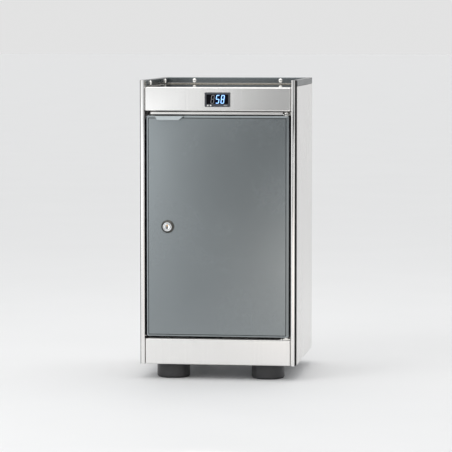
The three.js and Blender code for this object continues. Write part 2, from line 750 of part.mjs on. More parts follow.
/** The finger pull: a lip that leaves the door's top edge and slopes forwards and down. */
function handleLip() {
  const root = FACE_Y + 0.7;
  const top = DOOR_TOP - 0.7 - SHEET / 2;
  const drop = DOOR_TOP - HANDLE_DROP;
  const front = HANDLE_FRONT_Y + 0.4;
  const section = sheetSection(
    [[root, top], [FACE_Y - HANDLE_BROW, top], [front, drop + 0.4]], HANDLE_BEND,
  );
  const strip = prism(section, 'x', HANDLE_LEFT - 1, HANDLE_RIGHT + 1);
  const corner = 5;
  const outline = new THREE.Shape();
  outline.moveTo(HANDLE_LEFT, DOOR_TOP + 1);
  outline.lineTo(HANDLE_LEFT, drop + corner);
  outline.absarc(HANDLE_LEFT + corner, drop + corner, corner, Math.PI, 1.5 * Math.PI);
  outline.lineTo(HANDLE_RIGHT - HANDLE_SLANT, drop);
  outline.lineTo(HANDLE_RIGHT, top);
  outline.lineTo(HANDLE_RIGHT, DOOR_TOP + 1);
  return strip.intersect(prism(outline, 'y', HANDLE_FRONT_Y - 1, FACE_Y + 5));
}

/** The outer door pan with its finger pull, lock hole and pivot holes. */
function doorSkin() {
  const middle = (DOOR_TOP + DOOR_BOTTOM) / 2;
  const height = DOOR_TOP - DOOR_BOTTOM;
  const outline = roundedRectangle(0, middle, 2 * DOOR_HALF, height, DOOR_EDGE + 0.2);
  const slab = prism(outline, 'y', FACE_Y, DOOR_BACK_Y + 2 * DOOR_EDGE, DOOR_EDGE);
  const behind = block(
    [-DOOR_HALF - 1, DOOR_BACK_Y, DOOR_BOTTOM - 1],
    [DOOR_HALF + 1, DOOR_BACK_Y + 9, DOOR_TOP + 1],
  );
  const hollow = block(
    [-DOOR_HALF + SHEET, FACE_Y + SHEET, DOOR_BOTTOM + SHEET],
    [DOOR_HALF - SHEET, DOOR_BACK_Y + 1, DOOR_TOP - SHEET],
  );
  const pivotHole = rodAlongZ(PIN_BORE, DOOR_BOTTOM - 1, DOOR_TOP + 1, [PIVOT_X, PIVOT_Y]);
  const lockHole = rodAlongY(LOCK_HOLE_RADIUS, FACE_Y - 1, FACE_Y + 3, [LOCK_X, LOCK_Z], 40);
  const pan = slab.subtract(behind).subtract(hollow).subtract(pivotHole).subtract(lockHole);
  return part('door_skin', pan.add(handleLip()), 'greyPaint');
}

/** The flat liner that closes the back of the door. */
function doorInnerPanel() {
  const inset = SHEET + GAP;
  const outline = roundedRectangle(
    0,
    (DOOR_TOP + DOOR_BOTTOM) / 2,
    2 * (DOOR_HALF - inset),
    DOOR_TOP - DOOR_BOTTOM - 2 * inset,
    1,
  );
  const plate = prism(outline, 'y', DOOR_BACK_Y - SHEET, DOOR_BACK_Y);
  const hole = rodAlongY(LOCK_HOLE_RADIUS, DOOR_BACK_Y - 3, DOOR_BACK_Y + 1, [LOCK_X, LOCK_Z], 40);
  return part('door_inner_panel', plate.subtract(hole), 'stainless');
}

/** A nylon bush block inside the door, which turns on a hinge pin. */
function hingeBush(name, from, to) {
  const outline = roundedRectangle(PIVOT_X - 2, PIVOT_Y + 0.4, 11, 8.2, 1);
  const bore = rodAlongZ(PIN_BORE, from - 1, to + 1, [PIVOT_X, PIVOT_Y]);
  return part(name, prism(outline, 'z', from, to, 0.4).subtract(bore), 'whitePlastic');
}

/** A fixed hinge bracket: a plate over or under the door, its pin and a rear flange. */
function hingeBracket(name, plateLow, pin, flange) {
  const plate = 2;
  const front = 2.6;
  const back = CHAMBER_FRONT_Y - 0.5;
  const left = PIVOT_X - 6.2;
  const right = FASCIA_HALF;
  const outline = roundedRectangle(
    (left + right) / 2, (front + back) / 2, right - left, back - front, 1.5,
  );
  const solid = prism(outline, 'z', plateLow, plateLow + plate)
    .add(block([left, back - plate, flange.low], [right, back, flange.high]))
    .add(rodAlongZ(PIN_RADIUS, pin.low, pin.high, [PIVOT_X, PIVOT_Y]));
  return part(name, solid, 'zinc');
}

function topHingeBracket() {
  const plateLow = DOOR_TOP + 1.7;
  const pin = { low: DOOR_TOP - 7, high: DOOR_TOP + 5.5 };
  return hingeBracket('top_hinge_bracket', plateLow, pin, { low: plateLow, high: DOOR_TOP + 7 });
}

function bottomHingeBracket() {
  const plateLow = KICK_TOP + 0.6;
  const pin = { low: plateLow, high: DOOR_BOTTOM + 7 };
  const flange = { low: KICK_TOP - 16, high: KICK_TOP + 2 };
  return hingeBracket('bottom_hinge_bracket', plateLow, pin, flange);
}

// ---------------------------------------------------------------- lock

/** The lock barrel: a boss on a flange outside the door and a plain body through it. */
function lockBarrel() {
  const seat = FACE_Y - GAP;
  const profile = [
    [LOCK_BORE_RADIUS, LOCK_HEAD_Y + 0.8], [LOCK_BORE_RADIUS + 0.8, LOCK_HEAD_Y],
    [LOCK_BOSS_RADIUS - 0.7, LOCK_HEAD_Y], [LOCK_BOSS_RADIUS, LOCK_HEAD_Y + 0.7],
    [LOCK_BOSS_RADIUS, seat - 4.6], [LOCK_FLANGE_RADIUS - 0.6, seat - 2],
    [LOCK_FLANGE_RADIUS, seat - 1.2], [LOCK_FLANGE_RADIUS, seat],
    [LOCK_BODY_RADIUS, seat], [LOCK_BODY_RADIUS, LOCK_BACK_Y],
    [LOCK_BORE_RADIUS, LOCK_BACK_Y], [LOCK_BORE_RADIUS, LOCK_HEAD_Y + 0.8],
  ];
  const points = profile.map(([radius, y]) => new THREE.Vector2(radius, y));
  const solid = toSolid(new THREE.LatheGeometry(points, 40));
  const barrel = part('lock_barrel', solid, 'chrome');
  barrel.position.set(LOCK_X, 0, LOCK_Z);
  return barrel;
}

function lockNut() {
  const outer = new THREE.CylinderGeometry(14, 14, 3.6, 6).translate(0, DOOR_BACK_Y + GAP + 1.8, 0);
  const solid = toSolid(outer).subtract(rodAlongY(LOCK_HOLE_RADIUS, 15, 30, [0, 0], 40));
  const nut = part('lock_nut', solid, 'zinc');
  nut.position.set(LOCK_X, 0, LOCK_Z);
  return nut;
}

/** The turning plug, with its keyway upright. */
function lockPlug() {
  const front = LOCK_HEAD_Y + 0.5;
  const plug = rodAlongY(PLUG_RADIUS, front, CAM_Y - GAP, [0, 0], 32);
  const keyway = block([-0.9, front - 1, -4.4], [0.9, front + 7, 4.4]);
  const mesh = part('lock_plug', plug.subtract(keyway), 'chrome');
  mesh.position.set(LOCK_X, 0, LOCK_Z);
  return mesh;
}

/** The cam on the back of the plug. It hangs down when the door is free to open. */
function lockCam() {
  const outline = new THREE.Shape();
  outline.absarc(0, 0, 8, 0, Math.PI);
  outline.lineTo(-6, -CAM_REACH + 6);
  outline.absarc(0, -CAM_REACH + 6, 6, Math.PI, 2 * Math.PI);
  const arm = prism(outline, 'y', CAM_Y, CAM_Y + 2.5);
  const bolt = rodAlongY(5, CAM_Y + 2, CAM_Y + 5.5, [0, 0], 6);
  const cam = part('lock_cam', arm.add(bolt), 'zinc');
  cam.position.set(LOCK_X, 0, LOCK_Z);
  return cam;
}

/** The keeper on the chamber wall that the cam turns behind. */
function lockStrike() {
  const wall = -CHAMBER_HALF + GAP + SHEET / 2;
  const front = CAM_Y - 1.9;
  const section = sheetSection([[wall + 10, front], [wall, front], [wall, front + 24]]);
  return part('lock_strike', prism(section, 'z', LOCK_Z - 11, LOCK_Z + 11), 'zinc');
}

// ---------------------------------------------------------------- feet

function feet() {
  const group = new THREE.Group();
  const profile = [
    [0, 0], [FOOT_RADIUS - 5, 0], [FOOT_RADIUS - 3.1, 0.4], [FOOT_RADIUS - 1.5, 1.5],
    [FOOT_RADIUS - 0.4, 3.1], [FOOT_RADIUS, 5], [FOOT_RADIUS, FOOT_HEIGHT - 1.4],
    [FOOT_RADIUS - 0.8, FOOT_HEIGHT - GAP], [0, FOOT_HEIGHT - GAP],
  ];
  const places = [
    ['front_left_foot', -FOOT_X, FOOT_FRONT_Y], ['front_right_foot', FOOT_X, FOOT_FRONT_Y],
    ['rear_left_foot', -FOOT_X, FOOT_REAR_Y], ['rear_right_foot', FOOT_X, FOOT_REAR_Y],
  ];
  for (const [name, x, y] of places) {
    const foot = part(name, turned(profile, 40), 'rubber');
    foot.position.set(x, y, 0);
    group.add(foot);
  }
  return group;
}

// ---------------------------------------------------------------- assembly

function caseAssembly() {
  const group = new THREE.Group();
  group.add(
    basePan(), rearPanel(), controlFascia(), kickPanel(), headerStrip(), topDeck(), deckEdging(),
    sidePanel(-1, 'left_side_panel'), sidePanel(1, 'right_side_panel'),
    frontPost(-1, 'left_front_post'), frontPost(1, 'right_front_post'),
    jointStrip(-1, 'left_joint_strip'), jointStrip(1, 'right_joint_strip'),
    sideGalleryRail(-1, 'left_gallery_rail'), sideGalleryRail(1, 'right_gallery_rail'),
    rearGalleryRail(), galleryScrews(), feet(),
  );
  return group;
}

function chamberAssembly() {
  const group = new THREE.Group();
  group.add(
    chamberWall(-1, 'chamber_left_wall'), chamberWall(1, 'chamber_right_wall'),
    chamberPlate('chamber_ceiling', CHAMBER_CEILING, DOOR_TOP + 0.6, SHEET / 2),
    chamberPlate('chamber_floor', CHAMBER_FLOOR, DOOR_BOTTOM - 2.7, -SHEET / 2),
    chamberBackWall(), doorGasket(), shelves(), lockStrike(),
    lampTube(), lampHolder(-1, 'left_lamp_holder'), lampHolder(1, 'right_lamp_holder'),
    lampReflector(), ballast(), doorSwitch(), doorSwitchPlunger(),
  );
  return group;
}

function controlsAssembly() {
  const group = new THREE.Group();
  group.add(
    displayHousing(), displayWindow(), displayButtons(),
    powerInlet(), switchHousing(), switchRocker(),
  );
  return group;
}

function doorAssembly() {
  const group = new THREE.Group();
  const insideTop = DOOR_TOP - SHEET - GAP;
  const insideBottom = DOOR_BOTTOM + SHEET + GAP;
  group.add(
    doorSkin(), doorInnerPanel(),
    hingeBush('top_hinge_bush', insideTop - 8, insideTop),
    hingeBush('bottom_hinge_bush', insideBottom, insideBottom + 8),
    lockBarrel(), lockNut(), lockPlug(), lockCam(),
  );
  return group;
}

const cabinet = new THREE.Group();
cabinet.position.y = -FOOTPRINT_CENTRE_Y;
cabinet.add(
  caseAssembly(), chamberAssembly(), controlsAssembly(), doorAssembly(),
  topHingeBracket(), bottomHingeBracket(),
);

export default cabinet;
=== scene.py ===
import math
from types import SimpleNamespace

import bmesh
import bpy
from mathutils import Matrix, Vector


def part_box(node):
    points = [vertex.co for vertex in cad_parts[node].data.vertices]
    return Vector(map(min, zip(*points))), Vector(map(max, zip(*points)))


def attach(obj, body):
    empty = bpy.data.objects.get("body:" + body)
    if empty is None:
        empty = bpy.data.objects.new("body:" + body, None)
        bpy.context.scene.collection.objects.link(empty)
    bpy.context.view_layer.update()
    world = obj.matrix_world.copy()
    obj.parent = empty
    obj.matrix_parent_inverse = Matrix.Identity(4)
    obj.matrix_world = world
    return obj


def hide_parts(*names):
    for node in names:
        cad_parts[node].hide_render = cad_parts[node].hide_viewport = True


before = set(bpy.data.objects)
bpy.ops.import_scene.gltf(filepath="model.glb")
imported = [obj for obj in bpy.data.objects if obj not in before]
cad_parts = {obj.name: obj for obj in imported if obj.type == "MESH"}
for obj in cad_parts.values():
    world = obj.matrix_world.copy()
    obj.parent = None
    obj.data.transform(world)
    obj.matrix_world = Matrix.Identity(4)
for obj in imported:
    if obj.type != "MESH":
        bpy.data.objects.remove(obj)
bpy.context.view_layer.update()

# ------ sizes, in millimetres

MM = 0.001
SHEET = 1.2  # steel sheet
HALF = SHEET / 2
BEND = 1.6  # centre-line radius of a folded corner
SMOOTH_ANGLE = math.radians(50)
QUARTER = math.pi / 2
CORNER_STEPS = 6  # facets of a rounded corner
FOLD_STEPS = 8  # facets of a folded corner
CARRIED_RIM = 0.25  # rounding of the CAD nodes that stay
HINGE_OFFSET = (2, -0.4)  # from the middle of a hinge bush to its pin
PIN_HOLE = 3.3  # radius of the holes round the hinge pins
LOCK_HOLE = 9.8  # radius of the hole for the lock
TIP = 0.05  # radius at which a turned body closes on its axis


def box(node):
    """A CAD node's box, in millimetres, as x0, y0, z0, x1, y1 and z1."""
    ends = {}
    for end, corner in enumerate(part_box(node)):
        for axis, value in zip("xyz", corner):
            ends[f"{axis}{end}"] = value / MM
    return SimpleNamespace(**ends)


def middle(b, axes):
    """The middle of a node's box along some axes."""
    return [(getattr(b, f"{axis}0") + getattr(b, f"{axis}1")) / 2 for axis in axes]


POST = box("left_front_post")
FRONT_Y = POST.y0  # front plane of the corner posts
FACE_Y = FRONT_Y + 1.5  # fascia, door and kick panel

# ------ mesh helpers


def place(axis, u, v, w):
    """A point of an outline (u, v) at level w along an axis."""
    return {"x": (w, u, v), "y": (u, w, v), "z": (u, v, w)}[axis]


def lay(outline, axis, level):
    """An outline's points at a level along an axis."""
    return [place(axis, *point, level) for point in outline]


def inset(outline, distance):
    """An anticlockwise outline moved inwards, its corners mitred."""
    moved = []
    count = len(outline)
    for i in range(count):
        before, here, after = (Vector(outline[(i + k) % count]) for k in (-1, 0, 1))
        first = (here - before).normalized()
        second = (after - here).normalized()
        left_1 = Vector((-first.y, first.x))
        left_2 = Vector((-second.y, second.x))
        stretch = distance / max(0.35, 1 + left_1.dot(left_2))
        moved.append(here + (left_1 + left_2) * stretch)
    return moved


def rounded(u0, u1, v0, v1, radius):
    """An anticlockwise rectangle, its corners rounded by one radius or by four."""
    radii = radius if isinstance(radius, tuple) else (radius,) * 4
    corners = ((u0, v0, 1, 1), (u1, v0, -1, 1), (u1, v1, -1, -1), (u0, v1, 1, -1))
    outline = []
    for i, ((u, v, to_u, to_v), r) in enumerate(zip(corners, radii)):
        for step in range(CORNER_STEPS + 1):
            angle = math.pi + (i + step / CORNER_STEPS) * QUARTER
            centre = Vector((u + to_u * r, v + to_v * r))
            outline.append(centre + Vector((math.cos(angle), math.sin(angle))) * r)
    return outline


def fold(corners, bend, steps=FOLD_STEPS):
    """Points on a line through the corners, the inner ones rounded by one radius or by several."""
    points = [Vector(c) for c in corners]
    radii = bend if isinstance(bend, tuple) else (bend,) * (len(points) - 2)
    line = [points[0]]
    for before, here, after, radius in zip(points, points[1:], points[2:], radii):
        back = (before - here).normalized()
        on = (after - here).normalized()
        half = back.angle(on) / 2
        start = here + back * radius / math.tan(half)
        end = here + on * radius / math.tan(half)
        centre = here + (back + on).normalized() * radius / math.sin(half)
        first = math.atan2(*(start - centre).yx)
        sweep = math.atan2(*(end - centre).yx) - first
        sweep -= 2 * math.pi * round(sweep / (2 * math.pi))
        for step in range(steps + 1):
            angle = first + sweep * step / steps
            line.append(centre + Vector((math.cos(angle), math.sin(angle))) * radius)
    line.append(points[-1])
    return line


def arc(steps):
    """Pairs along a quarter turn: one runs from 0 to 1 while the other runs from 1 to 0."""
    turns = [step / steps * QUARTER for step in range(steps + 1)]
    return [(1 - math.cos(t), 1 - math.sin(t)) for t in turns]


def area(outline):
    """The area inside an outline, above zero if it runs anticlockwise."""
    pairs = zip(outline, list(outline[1:]) + [outline[0]])
    return sum(a[0] * b[1] - b[0] * a[1] for a, b in pairs) / 2


def sheet_outline(corners, bend=BEND):
    """The anticlockwise section of a folded sheet whose middle runs through the corners."""
    line = fold(corners, bend)
    left, right = [], []
    for i, point in enumerate(line):
        along = (line[min(i + 1, len(line) - 1)] - line[max(i - 1, 0)]).normalized()
        across = Vector((-along.y, along.x)) * SHEET / 2
        left.append(point + across)
        right.append(point - across)
    outline = left + right[::-1]
    return outline if area(outline) > 0 else outline[::-1]


def stack(rings, loop=False):
    """A closed body through rings of points in millimetres, capped at both ends or looped."""
    bm = bmesh.new()
    rows = [[bm.verts.new(Vector(p) * MM) for p in ring] for ring in rings]
    for a, b in zip(rows, rows[1:] + rows[:1] if loop else rows[1:]):
        for i in range(len(a)):
            j = (i + 1) % len(a)
            bm.faces.new((a[i], a[j], b[j], b[i]))
    if not loop:
        bm.faces.new(rows[0])
        bm.faces.new(rows[-1][::-1])
    return bm


def levels(low, high, low_edge, high_edge, steps=3):
    """Heights and insets of the rings that round the two ends of a prism."""
    rows = []
    for edge, start, way in ((low_edge, low, 1), (high_edge, high, -1)):
        turns = arc(steps) if edge else arc(steps)[:1]
        end = [(start + way * edge * lift, edge * draw) for lift, draw in turns]
        rows += end if way > 0 else end[::-1]
    return rows


def prism(outline, axis, low, high, low_edge=0.2, high_edge=0.2, steps=3):
    """An outline run along an axis, its two ends rounded."""
    rows = levels(low, high, low_edge, high_edge, steps)
    return stack([lay(inset(outline, distance), axis, level) for level, distance in rows])


def turned(profile, centre, axis="z", sides=64, closed=False):
    """A turned body from radius and height pairs, about an axis through a centre."""
    rings = []
    for radius, height in profile:
        ring = []
        for i in range(sides):
            angle = 2 * math.pi * i / sides
            point = place(axis, radius * math.cos(angle), radius * math.sin(angle), height)
            ring.append(Vector(point) + Vector(centre))
        rings.append(ring)
    return stack(rings, closed)


def tube(points, radius, sides=10):
    """A round wire through points in millimetres."""
    rings = []
    path = [Vector(p) for p in points]
    side = Vector((0.31, 0.17, 0.93))
    for i, point in enumerate(path):
        along = (path[min(i + 1, len(path) - 1)] - path[max(i - 1, 0)]).normalized()
        side = (side - along * side.dot(along)).normalized()
        up = along.cross(side)
        turns = [2 * math.pi * k / sides for k in range(sides)]
        rings.append([point + (side * math.cos(t) + up * math.sin(t)) * radius for t in turns])
    return stack(rings)


def merge(*bodies):
    """Several bodies as one mesh."""
    whole = bmesh.new()
    for bm in bodies:
        mesh = bpy.data.meshes.new("part")
        bm.to_mesh(mesh)
        bm.free()
        whole.from_mesh(mesh)
        bpy.data.meshes.remove(mesh)
    return whole


def linked(name, data):
    """A new object in the scene."""
    made = bpy.data.objects.new(name, data)
    bpy.context.scene.collection.objects.link(made)
    return made


def mesh_object(name, bm):
    """A mesh body as an object."""
    mesh = bpy.data.meshes.new(name)
    bm.to_mesh(mesh)
    bm.free()
    return linked(name, mesh)


def raw_object(name, bm):
    """A mesh body as an object, its faces turned outwards."""
    bmesh.ops.recalc_face_normals(bm, faces=bm.faces)
    return mesh_object(name, bm)


def settle(piece):
    """Puts a piece's modifiers into its mesh."""
    bpy.context.view_layer.update()
    shown = piece.evaluated_get(bpy.context.evaluated_depsgraph_get())
    mesh = bpy.data.meshes.new_from_object(shown)
    piece.modifiers.clear()
    piece.data = mesh


def carve(piece, cutter_bm):
    """Cuts a body out of a piece."""
    cutter = raw_object("cutter", cutter_bm)
    change = piece.modifiers.new("cut", "BOOLEAN")
    change.operation = "DIFFERENCE"
    change.solver = "EXACT"
    change.object = cutter
    settle(piece)
    bpy.data.objects.remove(cutter)


def smooth(piece):
    """Smooth shading with its sharp edges kept."""
    mesh = piece.data
    mesh.polygons.foreach_set("use_smooth", [True] * len(mesh.polygons))
    mesh.set_sharp_from_angle(angle=SMOOTH_ANGLE)
    piece.modifiers.new("normals", "WEIGHTED_NORMAL").keep_sharp = True


def round_rims(thing, width, segments=2):
    bevel = thing.modifiers.new("rim", "BEVEL")
    bevel.width = width * MM
    bevel.segments = segments
    bevel.limit_method = "ANGLE"
    bevel.angle_limit = SMOOTH_ANGLE
    return bevel


def finish(made, look, body="cabinet", replaces=()):
    """A piece's smooth shading, material, body and the nodes it stands for."""
    smooth(made)
    made.data.materials.clear()
    made.data.materials.append(look)
    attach(made, body)
    if replaces:
        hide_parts(*replaces)
    return made


def piece(name, bm, look, body="cabinet", slot=None, replaces=(), cuts=(), rim=0.0):
    """A finished piece from its mesh, the bodies to cut out of it and the rounding of its rims."""
    made = raw_object(name, bm)
    for cut in cuts:
        carve(made, cut)
    if rim:
        round_rims(made, rim)
        settle(made)
    return finish(made, look, body, replaces)


def carry(node, look):
    """A CAD node that stays: its rims are rounded and it takes a finished material."""
    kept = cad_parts[node]
    kept.modifiers.new("weld", "WELD").merge_threshold = 1e-6
    round_rims(kept, CARRIED_RIM).harden_normals = True
    kept.data.materials.clear()
    kept.data.materials.append(look)


# ------ materials


class Look:
    """A material made of nodes, in each object's own coordinates."""

    def __init__(self, name, slot, **sockets):
        self.material = bpy.data.materials.new(name)
        self.material["slot"] = slot
        self.material.use_nodes = True
        self.tree = self.material.node_tree
        self.tree.nodes.clear()
        inputs = {key.replace("_", " "): value for key, value in sockets.items()}
        self.shader = self.node("BsdfPrincipled", inputs)
        self.output = self.node("OutputMaterial")
        self.tree.links.new(self.shader.outputs[0], self.output.inputs[0])
        self.place = self.node("TexCoord").outputs["Object"]

    def node(self, kind, inputs=None, **settings):
        """A shader node: its inputs are values or other nodes' sockets."""
        made = self.tree.nodes.new("ShaderNode" + kind)
        for key, value in settings.items():
            setattr(made, key, value)
        for key, value in (inputs or {}).items():
            if isinstance(value, bpy.types.NodeSocket):
                self.tree.links.new(value, made.inputs[key])
            else:
                made.inputs[key].default_value = value
        return made

    def feed(self, **sockets):
        """Links node outputs to the shader."""
        for key, value in sockets.items():
            self.tree.links.new(value, self.shader.inputs[key.replace("_", " ")])

    def noise(self, scale, detail=3.0, roughness=0.55, distortion=0.0):
        """Noise, its scale in cells for each metre along x, y and z."""
        scale = scale if isinstance(scale, tuple) else (scale,) * 3
        mapped = self.node("Mapping", {"Vector": self.place, "Scale": scale})
        inputs = {
            "Vector": mapped.outputs[0],
            "Scale": 1.0,
            "Detail": detail,
            "Roughness": roughness,
            "Distortion": distortion,
        }
        return self.node("TexNoise", inputs).outputs["Fac"]

    def remap(self, value, low, high, start=0.3, end=0.7, **settings):
        """A value's range from start to end, spread from low to high."""
        inputs = {"Value": value, "From Min": start, "From Max": end, "To Min": low, "To Max": high}
        return self.node("MapRange", inputs, clamp=True, **settings).outputs[0]

    def math(self, operation, a, b):
        return self.node("Math", {0: a, 1: b}, operation=operation).outputs[0]

    def mix(self, factor, a, b):
        """A colour between two others."""
        a, b = (c if isinstance(c, bpy.types.NodeSocket) else (*c, 1.0) for c in (a, b))
        colour_a, colour_b, colour_out = 6, 7, 2
        inputs = {0: factor, colour_a: a, colour_b: b}
        return self.node("Mix", inputs, data_type="RGBA").outputs[colour_out]

    def bump(self, height, distance, strength):
        """A relief, its distance in millimetres."""
        inputs = {"Height": height, "Distance": distance * MM, "Strength": strength}
        return self.node("Bump", inputs).outputs[0]

    def done(self, base, rough, height, distance, strength):
        """The material from its colour, roughness and relief."""
        self.feed(Base_Color=base, Roughness=rough, Normal=self.bump(height, distance, strength))
        return self.material

    def emit(self, colour, strength):
        """The material as a light."""
        light = self.node("Emission", {"Color": colour, "Strength": strength})
        self.tree.links.new(light.outputs[0], self.output.inputs[0])
        return self.material

    def edges(self, radius):
        """1 on edges sharper than a radius in millimetres and 0 on open faces."""
        soft = self.node("Bevel", {"Radius": radius * MM}, samples=4).outputs[0]
        true = self.node("NewGeometry").outputs["Normal"]
        dot = self.node("VectorMath", {0: soft, 1: true}, operation="DOT_PRODUCT")
        patchy_rims = self.remap(self.noise(260.0, 4.0), 0.25, 1.0)
        sharp = self.remap(dot.outputs["Value"], 1.0, 0.0, 0.88, 0.995)
        return self.math("MULTIPLY", sharp, patchy_rims)


def shade(colour, factor):
    """A colour made lighter or darker."""
    return tuple(min(1.0, c * factor) for c in colour)


def brushed(name, colour, roughness, along):
    """Brushed sheet metal: fine streaks along one axis, handling marks and brighter rims."""
    look = Look(name, "stainless", Metallic=1.0, Anisotropic=0.3)
    fine = tuple(5.0 if axis == along else 1150.0 for axis in "xyz")
    broad = tuple(1.6 if axis == along else 240.0 for axis in "xyz")
    streaks = look.noise(fine, 1.0, 0.5)
    bands = look.noise(broad, 1.0)
    marks = look.noise(6.0, 4.0, 0.55, 0.2)
    base = look.mix(look.remap(streaks, 0.0, 1.0), shade(colour, 0.985), shade(colour, 1.01))
    base = look.mix(look.remap(bands, 0.0, 0.8), base, shade(colour, 0.955))
    base = look.mix(look.remap(marks, 0.0, 0.5, 0.45, 0.75), base, shade(colour, 0.955))
    patchy_rims = look.edges(0.8)
    base = look.mix(patchy_rims, base, shade(colour, 1.12))
    rough = look.remap(streaks, roughness - 0.01, roughness + 0.01)
    rough = look.math("ADD", rough, look.remap(bands, -0.004, 0.006))
    rough = look.math("ADD", rough, look.remap(marks, -0.015, 0.035))
    rough = look.math("SUBTRACT", rough, look.remap(patchy_rims, 0.0, 0.07, 0.0, 1.0))
    return look.done(base, rough, streaks, 0.002, 0.12)


def enamel(name, colour, roughness, metallic=0.9, grazing=1.0, slot="grey_paint"):
    """Metallic stoved paint: orange peel, flakes, dull handled patches and thin bright rims, partly
    edge wear and partly a painted highlight.
    """
    tint = (grazing, grazing, grazing, 1)
    look = Look(
        name, slot, Metallic=metallic, Coat_Weight=0.12, Coat_Roughness=0.16, Specular_Tint=tint
    )
    flakes = look.noise(2600.0, 1.0, 0.5)
    clouds = look.noise(7.0, 4.0, 0.6, 0.4)
    skin = look.noise(420.0, 2.0, 0.45)
    base = look.mix(look.remap(flakes, 0.0, 1.0), shade(colour, 0.94), shade(colour, 1.06))
    base = look.mix(look.remap(clouds, 0.0, 0.55), base, shade(colour, 0.93))
    dust = look.remap(look.noise(900.0, 2.0, 0.7), 0.0, 0.35, 0.68, 0.8)
    base = look.mix(dust, base, shade(colour, 1.3))
    # lighter rims: partly edge wear, partly a painted highlight
    patchy_rims = look.edges(0.7)
    base = look.mix(look.remap(patchy_rims, 0.0, 0.55, 0.0, 1.0), base, shade(colour, 1.45))
    rough = look.remap(clouds, roughness - 0.04, roughness + 0.05)
    rough = look.math("ADD", rough, look.remap(flakes, -0.02, 0.02))
    return look.done(base, rough, skin, 0.05, 0.3)


def bright(name, slot, colour, roughness, hazing=0.07):
    """Polished or plated metal: hairline scratches, a haze of handling and clean rims."""
    look = Look(name, slot, Metallic=1.0)
    haze = look.noise(34.0, 5.0, 0.65, 0.8)
    hairs = look.noise((1400.0, 60.0, 900.0), 2.0, 0.7, 1.5)
    base = look.mix(look.remap(haze, 0.0, 0.6), colour, shade(colour, 0.93))
    base = look.mix(look.edges(0.4), base, shade(colour, 1.06))
    rough = look.remap(haze, roughness, roughness + hazing, 0.45, 0.8)
    rough = look.math("ADD", rough, look.remap(hairs, 0.0, hazing * 0.6, 0.6, 0.8))
    return look.done(base, rough, hairs, 0.004, 0.25)


def galvanised(name, slot, colour, roughness):
    """Zinc-plated steel: crystal spangle, dull stains and bare rims."""
    look = Look(name, slot, Metallic=1.0)
    mapped = look.node("Mapping", {"Vector": look.place, "Scale": (140.0,) * 3})
    spangle = look.node("TexVoronoi", {"Vector": mapped.outputs[0], "Scale": 1.0}).outputs["Color"]
    tone = look.node("SeparateColor", {0: spangle}).outputs[0]
    stains = look.noise(22.0, 5.0, 0.6, 0.5)
    base = look.mix(look.remap(tone, 0.0, 1.0, 0.0, 1.0), shade(colour, 0.86), shade(colour, 1.08))
    base = look.mix(look.remap(stains, 0.0, 0.5), base, shade(colour, 0.8))
    base = look.mix(look.edges(0.5), base, shade(colour, 1.15))
    rough = look.remap(tone, roughness - 0.05, roughness + 0.07, 0.0, 1.0)
    return look.done(base, rough, stains, 0.05, 0.25)


def moulded(name, slot, colour, roughness, grain=900.0, relief=0.03, lift=1.5, **sockets):
    """Moulded plastic or rubber: a fine spark-eroded grain, dusty patches and rubbed rims."""
    look = Look(name, slot, **sockets)
    texture = look.noise(grain, 3.0, 0.6)
    dust = look.noise(28.0, 5.0, 0.65, 0.4)
    base = look.mix(look.remap(texture, 0.0, 1.0), shade(colour, 0.9), shade(colour, 1.1))
    base = look.mix(look.remap(dust, 0.0, 0.4), base, shade(colour, 1.0 + (lift - 1) * 0.6))
    base = look.mix(look.edges(0.6), base, shade(colour, lift))
    rough = look.remap(dust, roughness - 0.05, roughness + 0.09)
    rough = look.math("ADD", rough, look.remap(texture, -0.04, 0.04))
    return look.done(base, rough, texture, relief, 0.4)


def glassy(name, slot, colour, roughness, **sockets):
    """Glass or a lens: faint streaks and dust on a clear surface."""
    look = Look(name, slot, **sockets)
    streaks = look.noise((60.0, 60.0, 14.0), 4.0, 0.6, 1.0)
    dust = look.remap(look.noise(1500.0, 2.0, 0.7), 0.0, 0.3, 0.66, 0.8)
    base = look.mix(look.remap(streaks, 0.0, 0.4), colour, shade(colour, 0.88))
    base = look.mix(dust, base, tuple(0.5 * c + 0.18 for c in colour))
    rough = look.math("ADD", look.remap(streaks, roughness, roughness + 0.05), dust)
    return look.done(base, rough, streaks, 0.01, 0.15)


def glowing(name, slot, core, rim, strength):
    """A lit segment: a bright core that falls off to a coloured rim through fine diffusion."""
    look = Look(name, slot, Roughness=0.4, Emission_Strength=strength)
    grain = look.noise(900.0, 3.0, 0.6)
    colour = look.mix(look.remap(grain, 0.0, 0.35), core, rim)
    look.feed(Base_Color=colour, Emission_Color=colour)
    return look.material


